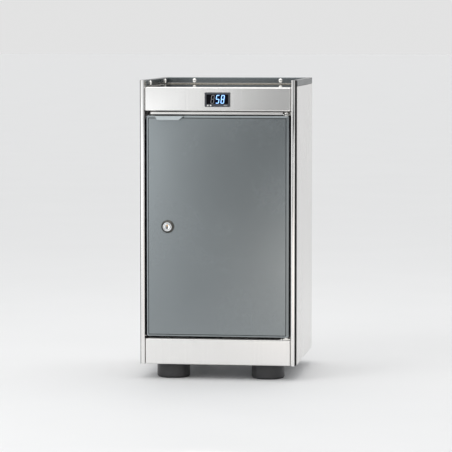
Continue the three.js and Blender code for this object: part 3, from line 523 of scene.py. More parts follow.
STEEL = (0.84, 0.83, 0.815)
PAINT = (0.258, 0.284, 0.294)
LOOKS = {
    "upright": brushed("steel_brushed_upright", STEEL, 0.25, "z"),
    "level": brushed("steel_brushed_level", STEEL, 0.3, "x"),
    # a lighter copy of the steel on the fascia and kick plate: a painted highlight for light from
    # above
    "front": brushed("steel_brushed_front_painted_lighter", shade(STEEL, 1.04), 0.22, "z"),
    "deep": brushed("steel_brushed_deep", STEEL, 0.28, "y"),
    "post": brushed("steel_post", shade(STEEL, 1.04), 0.11, "z"),
    "mirror": bright("steel_polished", "polished_steel", (0.80, 0.80, 0.79), 0.015, 0.03),
    "door": enamel("door_enamel", PAINT, 0.24),
    "rail": enamel("rail_enamel", shade(PAINT, 0.82), 0.22, 0.95, 0.5, "rail_paint"),
    # a lighter copy of the door's paint: a painted highlight on the door's left, top and bottom
    # borders
    "rim": enamel("door_rim_painted_highlight", shade(PAINT, 1.25), 0.2),
    # a lighter copy of the door's paint: a painted highlight on the finger pull's upward-tilted lip
    "pull": enamel("finger_pull_painted_highlight", shade(PAINT, 1.32), 0.22),
    "seam": moulded("seam_shadow", "black_plastic", (0.03, 0.034, 0.037), 0.6, 900.0, 0.02, 1.2),
    "edging": bright("edging_steel", "stainless", (0.40, 0.355, 0.28), 0.12, 0.05),
    "chrome": bright("chrome", "chrome", (0.86, 0.87, 0.88), 0.06),
    "nickel": bright("satin_nickel", "chrome", (0.84, 0.83, 0.80), 0.11),
    # a darkened copy of the nickel: painted shade and a painted dark reflection on the lock's
    # flange
    "ring": bright("nickel_painted_shade", "chrome", (0.10, 0.097, 0.088), 0.12),
    "zinc": galvanised("zinc_plate", "zinc_steel", (0.66, 0.67, 0.68), 0.33),
    "aluminium": bright("reflector_aluminium", "aluminium", (0.88, 0.88, 0.89), 0.12),
    "rubber": moulded("rubber", "rubber", (0.024, 0.024, 0.026), 0.4, 500.0, 0.05, 1.7),
    "seal": moulded("seal_rubber", "rubber", (0.05, 0.05, 0.052), 0.6, 900.0, 0.04, 1.4),
    "black": moulded("black_plastic", "black_plastic", (0.014, 0.015, 0.017), 0.42),
    "strip": moulded(
        "strip_rubber", "black_plastic", (0.004, 0.004, 0.005), 0.6, Specular_IOR_Level=0.04
    ),
    "dark": moulded("bezel_plastic", "dark_plastic", (0.052, 0.056, 0.066), 0.36, 1100.0, 0.02),
    "white": moulded("white_plastic", "white_plastic", (0.72, 0.72, 0.7), 0.38, 800.0, 0.02, 1.06),
    "lens": glassy(
        "smoked_lens", "smoked_lens", (0.002, 0.002, 0.004), 0.04, Specular_IOR_Level=0.05
    ),
    "glass": glassy(
        "quartz_glass", "lamp_glass", (0.93, 0.95, 1.0), 0.02, IOR=1.46, Transmission_Weight=0.85
    ),
    "brass": bright("brass", "chrome", (0.80, 0.47, 0.15), 0.16),
    "mark": moulded("grey_mark", "white_plastic", (0.3, 0.31, 0.33), 0.4, 900.0, 0.01, 1.1),
    "unlit": moulded("unlit_segment", "smoked_lens", (0.3, 0.3, 0.32), 0.35, 900.0, 0.01, 1.1),
    "lit": glowing("lit_segment", "smoked_lens", (0.6, 0.9, 1.0), (0.42, 0.78, 1.0), 1.15),
    "halo": glowing("segment_halo", "smoked_lens", (0.006, 0.2, 0.85), (0.004, 0.16, 0.7), 0.62),
}

# ------ case

SIDES = ((-1, "left"), (1, "right"))
BORDER_RISE = 0.75  # from the outer end of the door's border to its inner end
# the door's groove, from the inner end of its border: distance inwards and depth
GROOVE = ((-0.3, 0.12), (0.0, 1.3), (0.7, 1.3), (1.0, 0))


def margin_outline(b, margin, corner):
    """A rounded rectangle inside a node's front outline, or outside it if the margin is below 0."""
    return rounded(b.x0 + margin, b.x1 - margin, b.z0 + margin, b.z1 - margin, corner)


def pan(b, back, edge, corner, border=None):
    """A folded pan, open at the back: rounded rims, and maybe a border sloping in from them."""
    outside = margin_outline(b, 0, corner)
    inside = margin_outline(b, SHEET, max(corner - SHEET, 0.4))
    front = FACE_Y + (BORDER_RISE if border else 0)
    rings = [lay(inside, "y", level) for level in (front + SHEET, back)]
    rings.append(lay(outside, "y", back))
    for draw, drop in arc(CORNER_STEPS):
        rings.append(lay(inset(outside, edge * draw), "y", front + edge * drop))
    if border:
        for at, depth in GROOVE:
            left, right, bottom, top = (side + at for side in border)
            shape = rounded(b.x0 + left, b.x1 - right, b.z0 + bottom, b.z1 - top, 0.8)
            rings.append(lay(shape, "y", FACE_Y + depth))
    return stack(rings)


def corner_posts():
    """Folded posts: a tight inner bend and a wide outer one."""
    lip, bends = 4, (0.9, 2.6)
    for side, word in SIDES:
        node = f"{word}_front_post"
        post = box(node)
        outer, inner = (post.x0, post.x1)[::-side]
        middle_out, middle_in = outer - side * HALF, inner + side * HALF
        path = [
            (middle_out, post.y0 + lip),
            (middle_out, post.y0 + HALF),
            (middle_in, post.y0 + HALF),
            (middle_in, post.y1),
        ]
        body = prism(sheet_outline(path, bends), "z", post.z0, post.z1)
        piece(f"{word}_corner_post", body, LOOKS["post"], replaces=[node])


def side_panels():
    """Side sheets with a lip behind the joint strip and a flange behind the rear panel."""
    lip = 6.6
    for side, word in SIDES:
        node = f"{word}_side_panel"
        panel = box(node)
        outer, inner = (panel.x0, panel.x1)[::-side]
        wall = outer - side * HALF
        path = [
            (inner + side * lip, panel.y0 + HALF),
            (wall, panel.y0 + HALF),
            (wall, panel.y1 - HALF),
            (inner, panel.y1 - HALF),
        ]
        body = prism(sheet_outline(path), "z", panel.z0, panel.z1)
        piece(f"{word}_side_sheet", body, LOOKS["upright"], replaces=[node])


def front_panels():
    """The fascia with the display's hole, the kick plate and the header over the door."""
    edge, corner = 2.2, 2.4
    fascia = box("control_fascia")
    body = pan(fascia, fascia.y1, edge, corner)
    hole = margin_outline(box("display_housing"), 1.2, 0.8)
    cut = prism(hole, "y", FACE_Y - 5, FACE_Y + 4)
    piece("fascia_panel", body, LOOKS["front"], replaces=["control_fascia"], cuts=[cut])
    kick = box("kick_panel")
    body = pan(kick, kick.y1 - 6, edge, corner)
    piece("kick_plate", body, LOOKS["front"], replaces=["kick_panel"])
    header = box("header_strip")
    lip, bend = 8, 1.1
    path = [
        (header.y1, header.z1 - HALF),
        (header.y0 + HALF, header.z1 - HALF),
        (header.y0 + HALF, header.z0 + HALF),
        (header.y0 + lip, header.z0 + HALF),
    ]
    body = prism(sheet_outline(path, bend), "x", header.x0, header.x1)
    piece("header_rail", body, LOOKS["level"], replaces=["header_strip"])


def gallery():
    """Three capped rails with rounded shoulders, hollow below."""
    edge, foot, wall = 1.5, 0.3, 1.5
    outer, inner = 1.8, 0.4

    def rail(name, node, outline, hollow):
        """A rail from its outline and its hollow, as seen from above."""
        cap = box(node)
        rings = [lay(hollow, "z", cap.z1 - wall), lay(hollow, "z", cap.z0)]
        for lift, draw in arc(2):
            rings.append(lay(inset(outline, foot * draw), "z", cap.z0 + foot * lift))
        for draw, drop in arc(CORNER_STEPS):
            rings.append(lay(inset(outline, edge * draw), "z", cap.z1 - edge * drop))
        piece(name, stack(rings), LOOKS["rail"], replaces=[node])

    for word in ("left", "right"):
        b = box(f"{word}_gallery_rail")
        outline = rounded(b.x0, b.x1, b.y0, b.y1, outer)
        hollow = rounded(b.x0 + wall, b.x1 - wall, b.y0 + wall, b.y1 - wall, inner)
        rail(f"{word}_rail", f"{word}_gallery_rail", outline, hollow)
    b = box("rear_gallery_rail")
    corner = 9
    outline = rounded(b.x0, b.x1, b.y0, b.y1, (outer, outer, corner, corner))
    inside = (inner, inner, 2.0, 2.0)
    hollow = rounded(b.x0 + corner, b.x1 - corner, b.y0 + wall, b.y1 - wall, inside)
    rail("rear_rail", "rear_gallery_rail", outline, hollow)


def dome(radius, foot, height, steps=8):
    """Radius and height pairs over a dome, from just above its foot to its top."""
    turns = [step / steps * QUARTER for step in range(1, steps + 1)]
    return [(max(radius * math.cos(t), TIP), foot + height * math.sin(t)) for t in turns]


def domed_head(radius, height, flange=0.5):
    """A domed screw head's radius and height pairs, from its rim to the top of its dome."""
    return [(radius, 0.0), (radius, flange), *dome(radius, flange, height - flange)]


def screw(centre, axis, sign, radius=4.3, height=3.0, shank=5.0, turn=0.5):
    """A cross-recess screw: its body and the cross to cut out of it."""
    neck, recess = 2.0, 0.13
    profile = [(0.02, -shank), (neck, -shank), (neck, 0.0), *domed_head(radius, height)]
    body = turned([(r, sign * h) for r, h in profile], centre, axis, 40)
    arms = []
    for arm in range(2):
        angle = turn + arm * QUARTER
        along = Vector((math.cos(angle), math.sin(angle)))
        across = Vector((-along.y, along.x)) * radius * recess
        rings = []
        for level, reach in ((height * 0.45, 0.18), (height + 1, 0.62)):
            end = along * radius * reach
            quad = [end + across, -end + across, -end - across, end - across]
            rings.append([Vector(place(axis, *p, sign * level)) + Vector(centre) for p in quad])
        arms.append(stack(rings))
    return body, arms


def gallery_screws():
    """Two domed screws in each rail, their heads proud of its inner side."""
    head = 3.0
    for word, axis, sign in (("left", "x", 1), ("right", "x", -1), ("rear", "y", -1)):
        for i in (1, 2):
            node = f"{word}_gallery_screw_{i}"
            b = box(node)
            centre = middle(b, "xyz")
            at = "xyz".index(axis)
            low, high = (b.x0, b.x1) if axis == "x" else (b.y0, b.y1)
            centre[at] = high - head if sign > 0 else low + head
            body, arms = screw(centre, axis, sign, turn=0.4 + 0.7 * i + at)
            piece(f"{word}_rail_screw_{i}", body, LOOKS["nickel"], replaces=[node], cuts=arms)


# a foot's groove and upper rim: distance in from its side and distance down from its top
FOOT_TOP = ((0.25, 5.2), (0.9, 4.9), (0.9, 3.9), (0.3, 3.6), (0.3, 1.2), (0.8, 0.3), (1.6, 0))


def feet():
    """Rubber feet: a hollow for the screw, a soft lower edge and a moulded ring near the top."""
    edge = 4.6
    for node in ("front_left_foot", "front_right_foot", "rear_left_foot", "rear_right_foot"):
        b = box(node)
        radius = (b.x1 - b.x0) / 2
        centre = (*middle(b, "xy"), 0)
        profile = [(TIP, 2.0), (9.0, 2.0), (9.6, 1.6), (10.2, 0.3), (10.8, 0.0)]
        profile.append((radius - edge - 0.4, 0.0))
        profile += [(radius - edge * draw, edge * lift) for lift, draw in arc(8)]
        profile += [(radius - draw, b.z1 - drop) for draw, drop in FOOT_TOP]
        profile.append((TIP, b.z1))
        body = turned(profile, centre, "z", 96)
        piece(f"{node}_rubber", body, LOOKS["rubber"], replaces=[node])


# ------ door


def hinge_pin():
    """The x and y of the hinge pins' axis."""
    return [at + off for at, off in zip(middle(box("top_hinge_bush"), "xy"), HINGE_OFFSET)]


def door_shell():
    """The door pan with its lock hole and hinge bore, its border and its groove."""
    door = box("door_skin")
    border = (3.1, 5.0, 3.0, 4.0)  # left, right, bottom and top
    edge, corner = 1.3, 2.2
    body = pan(door, door.y1, edge, corner, border)
    x, z = middle(box("lock_barrel"), "xz")
    hole = turned([(LOCK_HOLE, FACE_Y - 4), (LOCK_HOLE, FACE_Y + 4)], (x, 0, z), "y")
    bore = turned([(PIN_HOLE, door.z0 - 5), (PIN_HOLE, door.z1 + 5)], (*hinge_pin(), 0), "z")
    shell = piece(
        "door_shell", body, LOOKS["door"], "door", replaces=["door_skin"], cuts=[hole, bore]
    )
    # the groove's faces take seam_shadow, a painted shadow; the sloping border faces on the left,
    # top and bottom take a lighter copy of the paint, a painted highlight where light falls
    for look in ("rim", "seam"):
        shell.data.materials.append(LOOKS[look])
    rim, seam = 1, 2
    for face in shell.data.polygons:
        depth = face.center.y / MM - FACE_Y
        from_left, from_right = face.center.x / MM - door.x0, door.x1 - face.center.x / MM
        from_end = min(face.center.z / MM - door.z0, door.z1 - face.center.z / MM)
        nearest = min(from_left, from_end)
        if 0.5 < depth < 1.5 and 2.5 < min(nearest, from_right):
            face.material_index = seam
        elif 0.05 < depth < 2.5 and nearest < 4.5 and face.normal.y < -0.1:
            face.material_index = rim


def finger_pull():
    """The lip at the top of the door: a bent sheet with one rounded and one slanted end."""
    door = box("door_skin")
    left, right, slant, corner = -115.4, -61.9, 8.4, 4.5
    bend, thickness, rim = 3.0, 1.5, 0.55
    top, height, cells = door.z1 - 1.0, 7.0, 26
    path = [(FACE_Y + 1.6, top), (FACE_Y - 3, top), (door.y0 + 0.75, top - height)]
    sheet = []
    for point in fold(path, bend, 10):
        share = min(1.0, max(0.0, (top - point.y) / height))
        from_end = height * (1 - share)
        bite = 0.0
        if from_end < corner:
            bite = corner - math.sqrt(max(0.0, corner**2 - (corner - from_end) ** 2))
        x0 = left + bite
        x1 = right - slant * share**0.9
        sheet.append([(x0 + (x1 - x0) * i / cells, *point) for i in range(cells + 1)])
    body = bmesh.new()
    verts = [[body.verts.new(Vector(p) * MM) for p in row] for row in sheet]
    for a, b in zip(verts, verts[1:]):
        for i in range(cells):
            body.faces.new((a[i], a[i + 1], b[i + 1], b[i]))
    made = raw_object("finger_pull", body)
    thick = made.modifiers.new("thick", "SOLIDIFY")
    thick.thickness = thickness * MM
    thick.offset = 0
    round_rims(made, rim, 4)
    settle(made)
    # the lip takes a lighter copy of the door's paint, a painted highlight for its upward tilt
    finish(made, LOOKS["pull"], "door")


def quarter(radius, level, across, along, steps=CORNER_STEPS):
    """Radius and level pairs of a rounded edge, from its end face to its outer side."""
    return [(radius - across * draw, level + along * lift) for lift, draw in arc(steps)]


def lock():
    """A conical flange darkened as painted shade, a bright boss in it, and the plug with its
    upright keyway, blacked in its lower part as painted shade.
    """
    barrel = box("lock_barrel")
    x, z = middle(barrel, "xz")
    flange = (barrel.x1 - barrel.x0) / 2
    seat = FACE_Y - 0.3
    head, bore, boss, neck = barrel.y0, 6.4, 8.2, 9.4
    profile = [(boss + 0.1, seat), (boss + 0.1, seat - 4.4)]
    profile += quarter(boss + 0.7, seat - 4.6, 0.5, 0.4, 3)
    profile += [(flange - 0.8, seat - 2.1), (flange - 0.25, seat - 1.6), (flange, seat - 1.1)]
    profile.append((flange, seat))
    body = turned(profile, (x, 0, z), "y", 96, closed=True)
    piece("lock_flange", body, LOOKS["ring"], "door", replaces=["lock_barrel"])
    profile = [(bore, barrel.y1), (bore, head + 0.7), (bore + 0.2, head + 0.2), (bore + 0.7, head)]
    profile += quarter(boss, head, 0.7, 0.7)
    profile += [(boss, seat + 0.1), (neck, seat + 0.3), (neck, barrel.y1)]
    body = turned(profile, (x, 0, z), "y", 96, closed=True)
    piece("lock_boss", body, LOOKS["chrome"], "door")

    plug = box("lock_plug")
    radius = (plug.x1 - plug.x0) / 2
    face = plug.y0
    profile = [(TIP, face + 0.25), (2.6, face + 0.2), (4.3, face), (radius - 0.5, face)]
    profile += [(radius - 0.15, face + 0.15), (radius, face + 0.5)]
    profile += [(radius, plug.y1), (TIP, plug.y1)]
    keyway = prism(rounded(x - 1.4, x + 1.4, z - 4.0, z + 4.0, 0.5), "y", face - 2, face + 7)
    body = turned(profile, (x, 0, z), "y", 72)
    piece("lock_cylinder", body, LOOKS["chrome"], "lock", replaces=["lock_plug"], cuts=[keyway])
    # a black block in the lower part of the keyway: painted shade for the dark hole
    slot = prism(rounded(x - 1.35, x + 1.35, z - 3.95, z + 0.8, 0.45), "y", face + 0.7, face + 6.9)
    piece("keyway_painted_shade", slot, LOOKS["black"], "lock")
    pin = prism(rounded(x - 1.3, x + 1.3, z + 0.9, z + 3.9, 0.4), "y", face + 0.5, face + 3, 0.3)
    piece("keyway_pin", pin, LOOKS["brass"], "lock")


def hinge_fittings():
    """The hinge pins' washers, the cap nut over the top one and the door's stop pin."""
    x, y = hinge_pin()
    door = box("door_skin")
    for word, low in (("top", door.z1 + 0.3), ("bottom", door.z0 - 1.5)):
        high, outer = low + 1.1, 5.0
        ring = [(PIN_HOLE, low), (outer, low), (outer, high), (PIN_HOLE, high)]
        body = turned(ring, (x, y, 0), "z", 48, closed=True)
        piece(f"{word}_hinge_washer", body, LOOKS["nickel"], rim=0.15)
    bracket = box("top_hinge_bracket")
    seat, bore, radius, flat, rise = door.z1 + 3.8, 3.2, 4.1, 1.6, 2.0
    cap = [(bore, seat), (radius, seat), (radius, seat + flat)]
    cap += dome(radius, seat + flat, rise, CORNER_STEPS)
    cap += [(TIP, bracket.z1 - 0.9), (bore, bracket.z1 - 0.9)]
    piece("top_hinge_cap_nut", turned(cap, (x, y, 0), "z", 48), LOOKS["nickel"])
    low = box("kick_panel").z1 + 0.1
    stop = [(TIP, low), (2.4, low), (2.4, low + 0.5), (0.7, low + 3.5), (TIP, low + 3.7)]
    from_hinge = 8.8
    piece("door_stop_pin", turned(stop, (x - from_hinge, y, 0), "z", 40), LOOKS["nickel"])


# ------ display


SEGMENTS = {
    "a": ((0, 2), (1, 2)),
    "b": ((1, 2), (1, 1)),
    "c": ((1, 1), (1, 0)),
    "d": ((1, 0), (0, 0)),
    "e": ((0, 0), (0, 1)),
    "f": ((0, 1), (0, 2)),
    "g": ((0, 1), (1, 1)),
}
DIGITS = {"5": "afgcd", "8": "abcdefg"}


def bar(start, end, width, gap, low, high, lean):
    """One bar of a digit: a six-sided prism between two places, leaning to the right."""
    start, end = Vector(start), Vector(end)
    along = (end - start).normalized()
    across = Vector((-along.y, along.x)) * width / 2
    tip, shoulder = along * gap, along * (gap + width / 2)
    corners = [start + tip, start + shoulder - across, end - shoulder - across]
    corners += [end - tip, end - shoulder + across, start + shoulder + across]
    corners = [Vector((p.x + p.y * lean, p.y)) for p in corners]
    if area(corners) < 0:
        corners.reverse()
    return prism(corners, "y", low, high, 0, 0)


def display_bezel():
    """The bezel with its well for the window, the three keys in it and the case behind it."""
    housing = box("display_housing")
    window = box("display_window")
    back, front = FACE_Y - 0.3, housing.y0
    edge, lip = 0.7, 0.35
    outline = margin_outline(housing, 0, 1.4)
    rings = [lay(outline, "y", back)]
    for draw, drop in arc(4):
        rings.append(lay(inset(outline, edge * draw), "y", front + edge * drop))
    well = margin_outline(window, -lip, 0.8)
    for draw, depth in ((-0.5, 0.0), (-0.15, 0.12), (0.0, 0.5), (0.0, 1.9)):
        rings.append(lay(inset(well, draw), "y", front + depth))
    body = stack(rings)
    wells = []
    for i in (1, 2, 3):
        node = f"display_button_{i}"
        b = box(node)
        corner = min(b.x1 - b.x0, b.z1 - b.z0) / 2 - 0.15
        gap = 0.3
        wells.append(prism(margin_outline(b, -gap, corner + gap), "y", front - 2, front + 0.9))
        button = prism(margin_outline(b, 0, corner), "y", b.y0, b.y1, 0.35, 0.1, 4)
        look = LOOKS["mark" if i == 3 else "white"]
        piece(f"display_key_{i}", button, look, node, replaces=[node])
    piece("display_bezel", body, LOOKS["dark"], replaces=["display_housing"], cuts=wells)
    case = prism(margin_outline(housing, 1.5, 0.6), "y", back + 0.2, housing.y1)
    piece("display_case", case, LOOKS["dark"])


def digit_bars(digit, left, base, width, height, grow, end_gap, low, high, lean):
    """The bars of a digit as one mesh."""
    bars = []
    for name in DIGITS[digit]:
        ends = [(left + col * width, base + row * height / 2) for col, row in SEGMENTS[name]]
        bars.append(bar(*ends, grow, end_gap, low, high, lean))
    return merge(*bars)


def display():
    """The lens, and on it the digits: the first unlit, the others lit with a halo."""
    display_bezel()
    window = box("display_window")
    body = prism(margin_outline(window, 0, 0.5), "y", window.y0, window.y1, 0.25, 0.1)
    piece("display_lens", body, LOOKS["lens"], replaces=["display_window"])

    width, height, pitch, lean = 5.0, 14.2, 9.3, 0.13
    stroke, spread = 0.7, 1.1
    x, z = middle(window, "xz")
    start = x - 1.45 * pitch + 2.3
    base = z - height / 2
    lens = window.y0
    for place_no, (digit, lit) in enumerate((("8", False), ("5", True), ("8", True))):
        left = start + place_no * pitch - base * lean - height / 2 * lean
        size = (digit, left, base, width, height)
        name = f"digit_{place_no + 1}"
        bars = digit_bars(*size, stroke, 0.15, lens - 0.16, lens - 0.06, lean)
        piece(name, bars, LOOKS["lit" if lit else "unlit"])
        if lit:
            halo = digit_bars(*size, stroke + spread, -0.35, lens - 0.05, lens - 0.01, lean)
            piece(f"{name}_halo", halo, LOOKS["halo"])


# ------ inside and behind


def electrode(end, sign, cap, y, z):
    """Two wires out of a lamp cap and the coil between them."""
    reach, spread = 7, 2.6
    coil_radius, coil_turns, coil_steps = 0.7, 5, 60
    wires = []
    for side in (-1, 1):
        x = end + sign * cap
        path = [(x - sign, y + side * spread, z), (x + sign * reach, y + side * spread, z)]
        wires.append(tube(path, 0.45))
    x = end + sign * (cap + reach)
    coil = []
    for i in range(coil_steps + 1):
        turn = i / coil_steps * coil_turns * 2 * math.pi
        across = y - spread + 2 * spread * i / coil_steps
        sway, lift = coil_radius * math.cos(turn), coil_radius * math.sin(turn)
        coil.append((x + sway, across, z + lift))
    wires.append(tube(coil, 0.22, 6))
    return merge(*wires)


def lamp_guard(y, low):
    """Five folded wires from the ceiling round the lamp, and two wires along it."""
    half, top = 24, box("chamber_ceiling").z1 - SHEET - 0.7
    length, bend = 84, 7
    wires = []
    for x in range(-80, 81, 40):
        path = fold([(y - half, top), (y - half, low), (y + half, low), (y + half, top)], bend)
        wires.append(tube([(x, p.x, p.y) for p in path], 1.1))
    for side in (-9, 9):
        wires.append(tube([(x, y + side, low - 2.1) for x in (-length, length)], 1.0))
    return merge(*wires)


def lamp():
    """The glass tube, its two caps and electrodes, and the wire guard below it."""
    tube_box = box("uv_lamp_tube")
    y, z = middle(tube_box, "yz")
    radius = (tube_box.y1 - tube_box.y0) / 2
    ends = (tube_box.x0, tube_box.x1)
    cap = 7.0
    glass = radius - 0.5
    x0, x1 = ends[0] + cap - 1.5, ends[1] - cap + 1.5
    outer = [(glass * 0.5, x0), (glass * 0.9, x0 + 0.6), (glass, x0 + 2.0)]
    outer += [(glass, x1 - 2.0), (glass * 0.9, x1 - 0.6), (glass * 0.5, x1)]
    inner = [(glass * 0.5 - 1, x1 - 1), (glass - 1, x1 - 2.5), (glass - 1, x0 + 2.5)]
    inner.append((glass * 0.5 - 1, x0 + 1))
    body = turned(outer + inner, (0, y, z), "x", 48, closed=True)
    piece("lamp_glass", body, LOOKS["glass"], replaces=["uv_lamp_tube"])
    for word, end, sign in (("left", ends[0], 1), ("right", ends[1], -1)):
        profile = [(TIP, end), (radius - 0.6, end), (radius, end + sign * 0.6)]
        profile += [(radius, end + sign * (cap - 1)), (radius - 0.3, end + sign * cap)]
        profile += [(TIP, end + sign * cap)]
        piece(f"lamp_{word}_cap", turned(profile, (0, y, z), "x", 48), LOOKS["aluminium"])
        piece(f"lamp_{word}_electrode", electrode(end, sign, cap, y, z), LOOKS["zinc"])
    piece("lamp_guard", lamp_guard(y, z - radius - 5), LOOKS["chrome"])


def inlet_pins():
    """Three flat pins in the inlet's well."""
    inlet = box("power_inlet")
    x, z = middle(inlet, "xz")
    back = inlet.y1 - 15
    pins = []
    for dx, dz in ((-7, -2), (7, -2), (0, 2)):
        shape = rounded(x + dx - 1.1, x + dx + 1.1, z + dz - 2.1, z + dz + 2.1, 0.4)
        pins.append(prism(shape, "y", back + 0.3, back + 10.6, 0.1, 0.7))
    piece("inlet_pins", merge(*pins), LOOKS["chrome"], slot="black_plastic")


def rear_screws():
    """Four screws along each side of the rear panel."""
    panel = box("rear_panel")
    height = panel.z1 - panel.z0
    margin, lowest, span = 8, 0.04, 0.92
    for side, word in SIDES:
        for i in range(4):
            z = panel.z0 + height * (lowest + span * i / 3)
            centre = (side * (panel.x1 - margin), panel.y1, z)
            body, arms = screw(centre, "y", 1, 3.4, 2.2, 0.3, 0.3 + i + side)
            piece(f"rear_{word}_screw_{i + 1}", body, LOOKS["chrome"], cuts=arms)


def door_rivets():
    """Five rivet heads along each side of the door's inner panel."""
    liner = box("door_inner_panel")
    from_side, from_end = 9, 12
    span = liner.z1 - liner.z0 - 2 * from_end
    heads = []
    for x in (liner.x0 + from_side, liner.x1 - from_side):
        for i in range(5):
            z = liner.z0 + from_end + span * i / 4
            profile = [(TIP, liner.y1 - 0.5)]
            profile += [(r, liner.y1 + h) for r, h in domed_head(2.6, 0.9, 0.2)]
            heads.append(turned(profile, (x, 0, z), "y", 28))
    piece("door_rivets", merge(*heads), LOOKS["aluminium"], "door")


CARRIED = {
    "mirror": "top_deck",
    "upright": "rear_panel chamber_back_wall door_inner_panel",
    "deep": "chamber_left_wall chamber_right_wall chamber_ceiling chamber_floor"
    " lower_shelf upper_shelf",
    "edging": "deck_edging",
    "zinc": "base_pan lamp_ballast lock_nut lock_cam lock_strike",
    "nickel": "top_hinge_bracket bottom_hinge_bracket",
    "aluminium": "lamp_reflector",
    "seal": "door_gasket",
    "strip": "left_joint_strip right_joint_strip",
    "black": "door_switch power_inlet power_switch_housing power_switch_rocker",
    "white": "left_lamp_holder right_lamp_holder door_switch_plunger"
    " top_hinge_bush bottom_hinge_bush",
}


def carried_nodes():
    """The CAD nodes that stay in view take their materials."""
    for look, names in CARRIED.items():
        for name in names.split():
            carry(name, LOOKS[look])


# ------ floor, light and camera


def aimed(thing, place_at, target):
    """Puts a thing at a place and turns it to a target."""
    thing.location = place_at
    thing.rotation_mode = "QUATERNION"
    thing.rotation_quaternion = (Vector(target) - Vector(place_at)).to_track_quat("-Z", "Y")


def grid(name, cells, half):
    """A flat square of cells, its half side in metres."""
    bm = bmesh.new()
    bmesh.ops.create_grid(bm, x_segments=cells, y_segments=cells, size=half)
    return mesh_object(name, bm)


def floor():
    """A pale floor out to the horizon."""
    made = grid("floor", 24, 60)
    look = Look("pale_floor", "floor", Specular_IOR_Level=0.2)
    cloud = look.noise(3.0, 4.0)
    tone = look.mix(look.remap(cloud, 0.0, 1.0), (0.86, 0.865, 0.87), (0.875, 0.88, 0.885))
    rough = look.remap(cloud, 0.6, 0.7)
    look.feed(Base_Color=tone, Roughness=rough)
    made.data.materials.append(look.material)


def card(name, centre, target, width, height, glow):
    """A panel that only shows in glossy surfaces, as a light tent's walls do."""
    made = grid(name, 1, 0.5)
    made.scale = (width, height, 1)
    aimed(made, centre, target)
    made.data.materials.append(glow)
    for ray in ("camera", "diffuse", "transmission", "volume_scatter", "shadow"):
        setattr(made, f"visible_{ray}", False)


def tent_front():
    """The tent's front wall: a bright left, a grey middle, a dark upper right and a dark top."""
    look = Look("tent_front", "tent")
    where = look.node("NewGeometry").outputs["Position"]
    x, _, z = look.node("SeparateXYZ", {0: where}).outputs

    def rise(value, start, end, low=0.0, high=1.0):
        """Goes smoothly from low to high while a value goes from start to end."""
        return look.remap(value, low, high, start, end, interpolation_type="SMOOTHSTEP")

    def blend(factor, a, b):
        """A value between two others."""
        return look.math("ADD", a, look.math("MULTIPLY", factor, look.math("SUBTRACT", b, a)))

    left = rise(z, 0.0, 0.42, 0.98, 1.85)
    centre = rise(z, 0.0, 0.4, 0.68, 0.5)
    right = rise(z, 0.15, 0.31, 1.08, 0.0)
    edge = rise(z, 0.40, 0.43, 1.6, 0.15)
    glow = blend(rise(x, -0.30, -0.17), left, centre)
    glow = blend(rise(x, -0.07, 0.05), glow, right)
    glow = blend(rise(x, 0.055, 0.065), glow, edge)
    glow = blend(rise(x, 0.11, 0.15), glow, rise(z, 0.40, 0.45, 0.95, 0.35))
    level_band = blend(rise(x, -0.30, -0.12), 1.05, 1.3)
    level_band = blend(rise(x, -0.12, 0.0), level_band, 0.4)
    glow = blend(rise(z, 0.465, 0.49), glow, level_band)
    glow = blend(rise(z, 0.535, 0.60), glow, 0.25)
    fade = look.math("MAXIMUM", rise(x, 1.05, 1.3), rise(z, 0.7, 0.8))
    fade = look.math("MAXIMUM", fade, rise(x, -0.5, -0.8))
    glow = blend(fade, glow, 0.85)
    warmth = look.math("MULTIPLY", rise(x, -0.15, 0.04), rise(z, 0.4, 0.15))
    tint = look.mix(warmth, (0.985, 1.0, 1.01), (1.05, 1.0, 0.96))
    return look.emit(tint, glow)


SKY = {"From Min": 0.03, "From Max": 0.2, "To Min": 0.765, "To Max": 0.88}  # horizon to sky


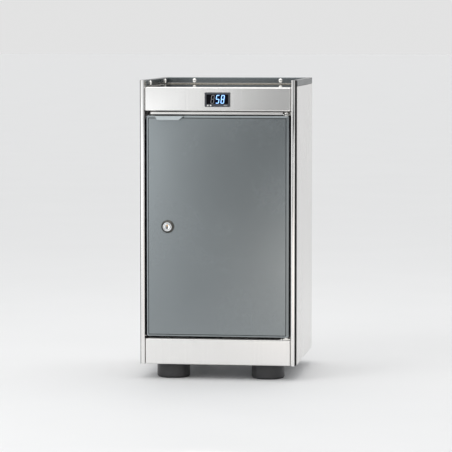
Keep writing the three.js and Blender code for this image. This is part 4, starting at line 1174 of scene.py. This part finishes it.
def lights():
    """An even sky, two soft lamps and the walls of a light tent."""
    world = bpy.data.worlds.new("studio")
    world.use_nodes = True
    tree = world.node_tree
    way = tree.nodes.new("ShaderNodeTexCoord").outputs["Generated"]
    up = tree.nodes.new("ShaderNodeSeparateXYZ")
    level = tree.nodes.new("ShaderNodeMapRange")
    for name, value in SKY.items():
        level.inputs[name].default_value = value
    tree.links.new(way, up.inputs[0])
    tree.links.new(up.outputs[2], level.inputs["Value"])
    tree.links.new(level.outputs[0], tree.nodes["Background"].inputs[0])
    bpy.context.scene.world = world
    for name, energy, size, place_at in (
        ("key", 9.0, 1.2, (-1.3, -1.6, 1.7)),
        ("top", 5.0, 1.2, (0.2, 0.4, 2.2)),
    ):
        lamp_data = bpy.data.lights.new(name, "AREA")
        lamp_data.energy = energy
        lamp_data.shape = "DISK"
        lamp_data.size = size
        made = linked(name, lamp_data)
        aimed(made, place_at, (0, 0, 0.25))
        made.visible_camera = False
    card("tent_front", (0.25, -0.95, 0.5), (0.25, 0, 0.5), 2.2, 1.0, tent_front())
    for name, strength, *rest in (
        ("overhead", 1.55, (-0.1, -0.55, 1.6), (0, -0.15, 0.53), 2.0, 1.4),
        ("left", 0.92, (-1.35, -0.2, 0.5), (0, 0, 0.4), 1.0, 1.1),
        ("corner", 1.05, (-1.1, -1.1, 0.5), (0, 0, 0.4), 0.45, 1.2),
    ):
        glow = Look(f"{name}_glow", "tent").emit((1, 1, 1, 1), strength)
        card(f"tent_{name}", *rest, glow)


def camera():
    """At the height of the case's middle, a little to the right and above, with a long lens."""
    yaw, pitch = math.radians(7.54), math.radians(4.31)
    distance = 4.970
    focal_pixels, frame_pixels, sensor = 2628, 452, 36
    back = Vector(
        (math.sin(yaw) * math.cos(pitch), -math.cos(yaw) * math.cos(pitch), math.sin(pitch))
    )
    turn = (-back).to_track_quat("-Z", "Y")
    left, down = 0.0038, 0.0161
    centre = Vector((0, 0.003, 0.290)) + turn @ Vector((-left, -down, 0))
    data = bpy.data.cameras.new("camera")
    data.sensor_width = sensor
    data.lens = sensor * focal_pixels / frame_pixels
    data.clip_start, data.clip_end = 0.1, 200
    made = linked("camera", data)
    made.rotation_mode = "QUATERNION"
    made.rotation_quaternion = turn
    made.location = centre + back * distance
    bpy.context.scene.camera = made


corner_posts()
side_panels()
front_panels()
gallery()
gallery_screws()
feet()
door_shell()
finger_pull()
lock()
hinge_fittings()
display()
lamp()
inlet_pins()
rear_screws()
door_rivets()
carried_nodes()
floor()
lights()
camera()
bpy.context.scene.view_settings.view_transform = "Standard"
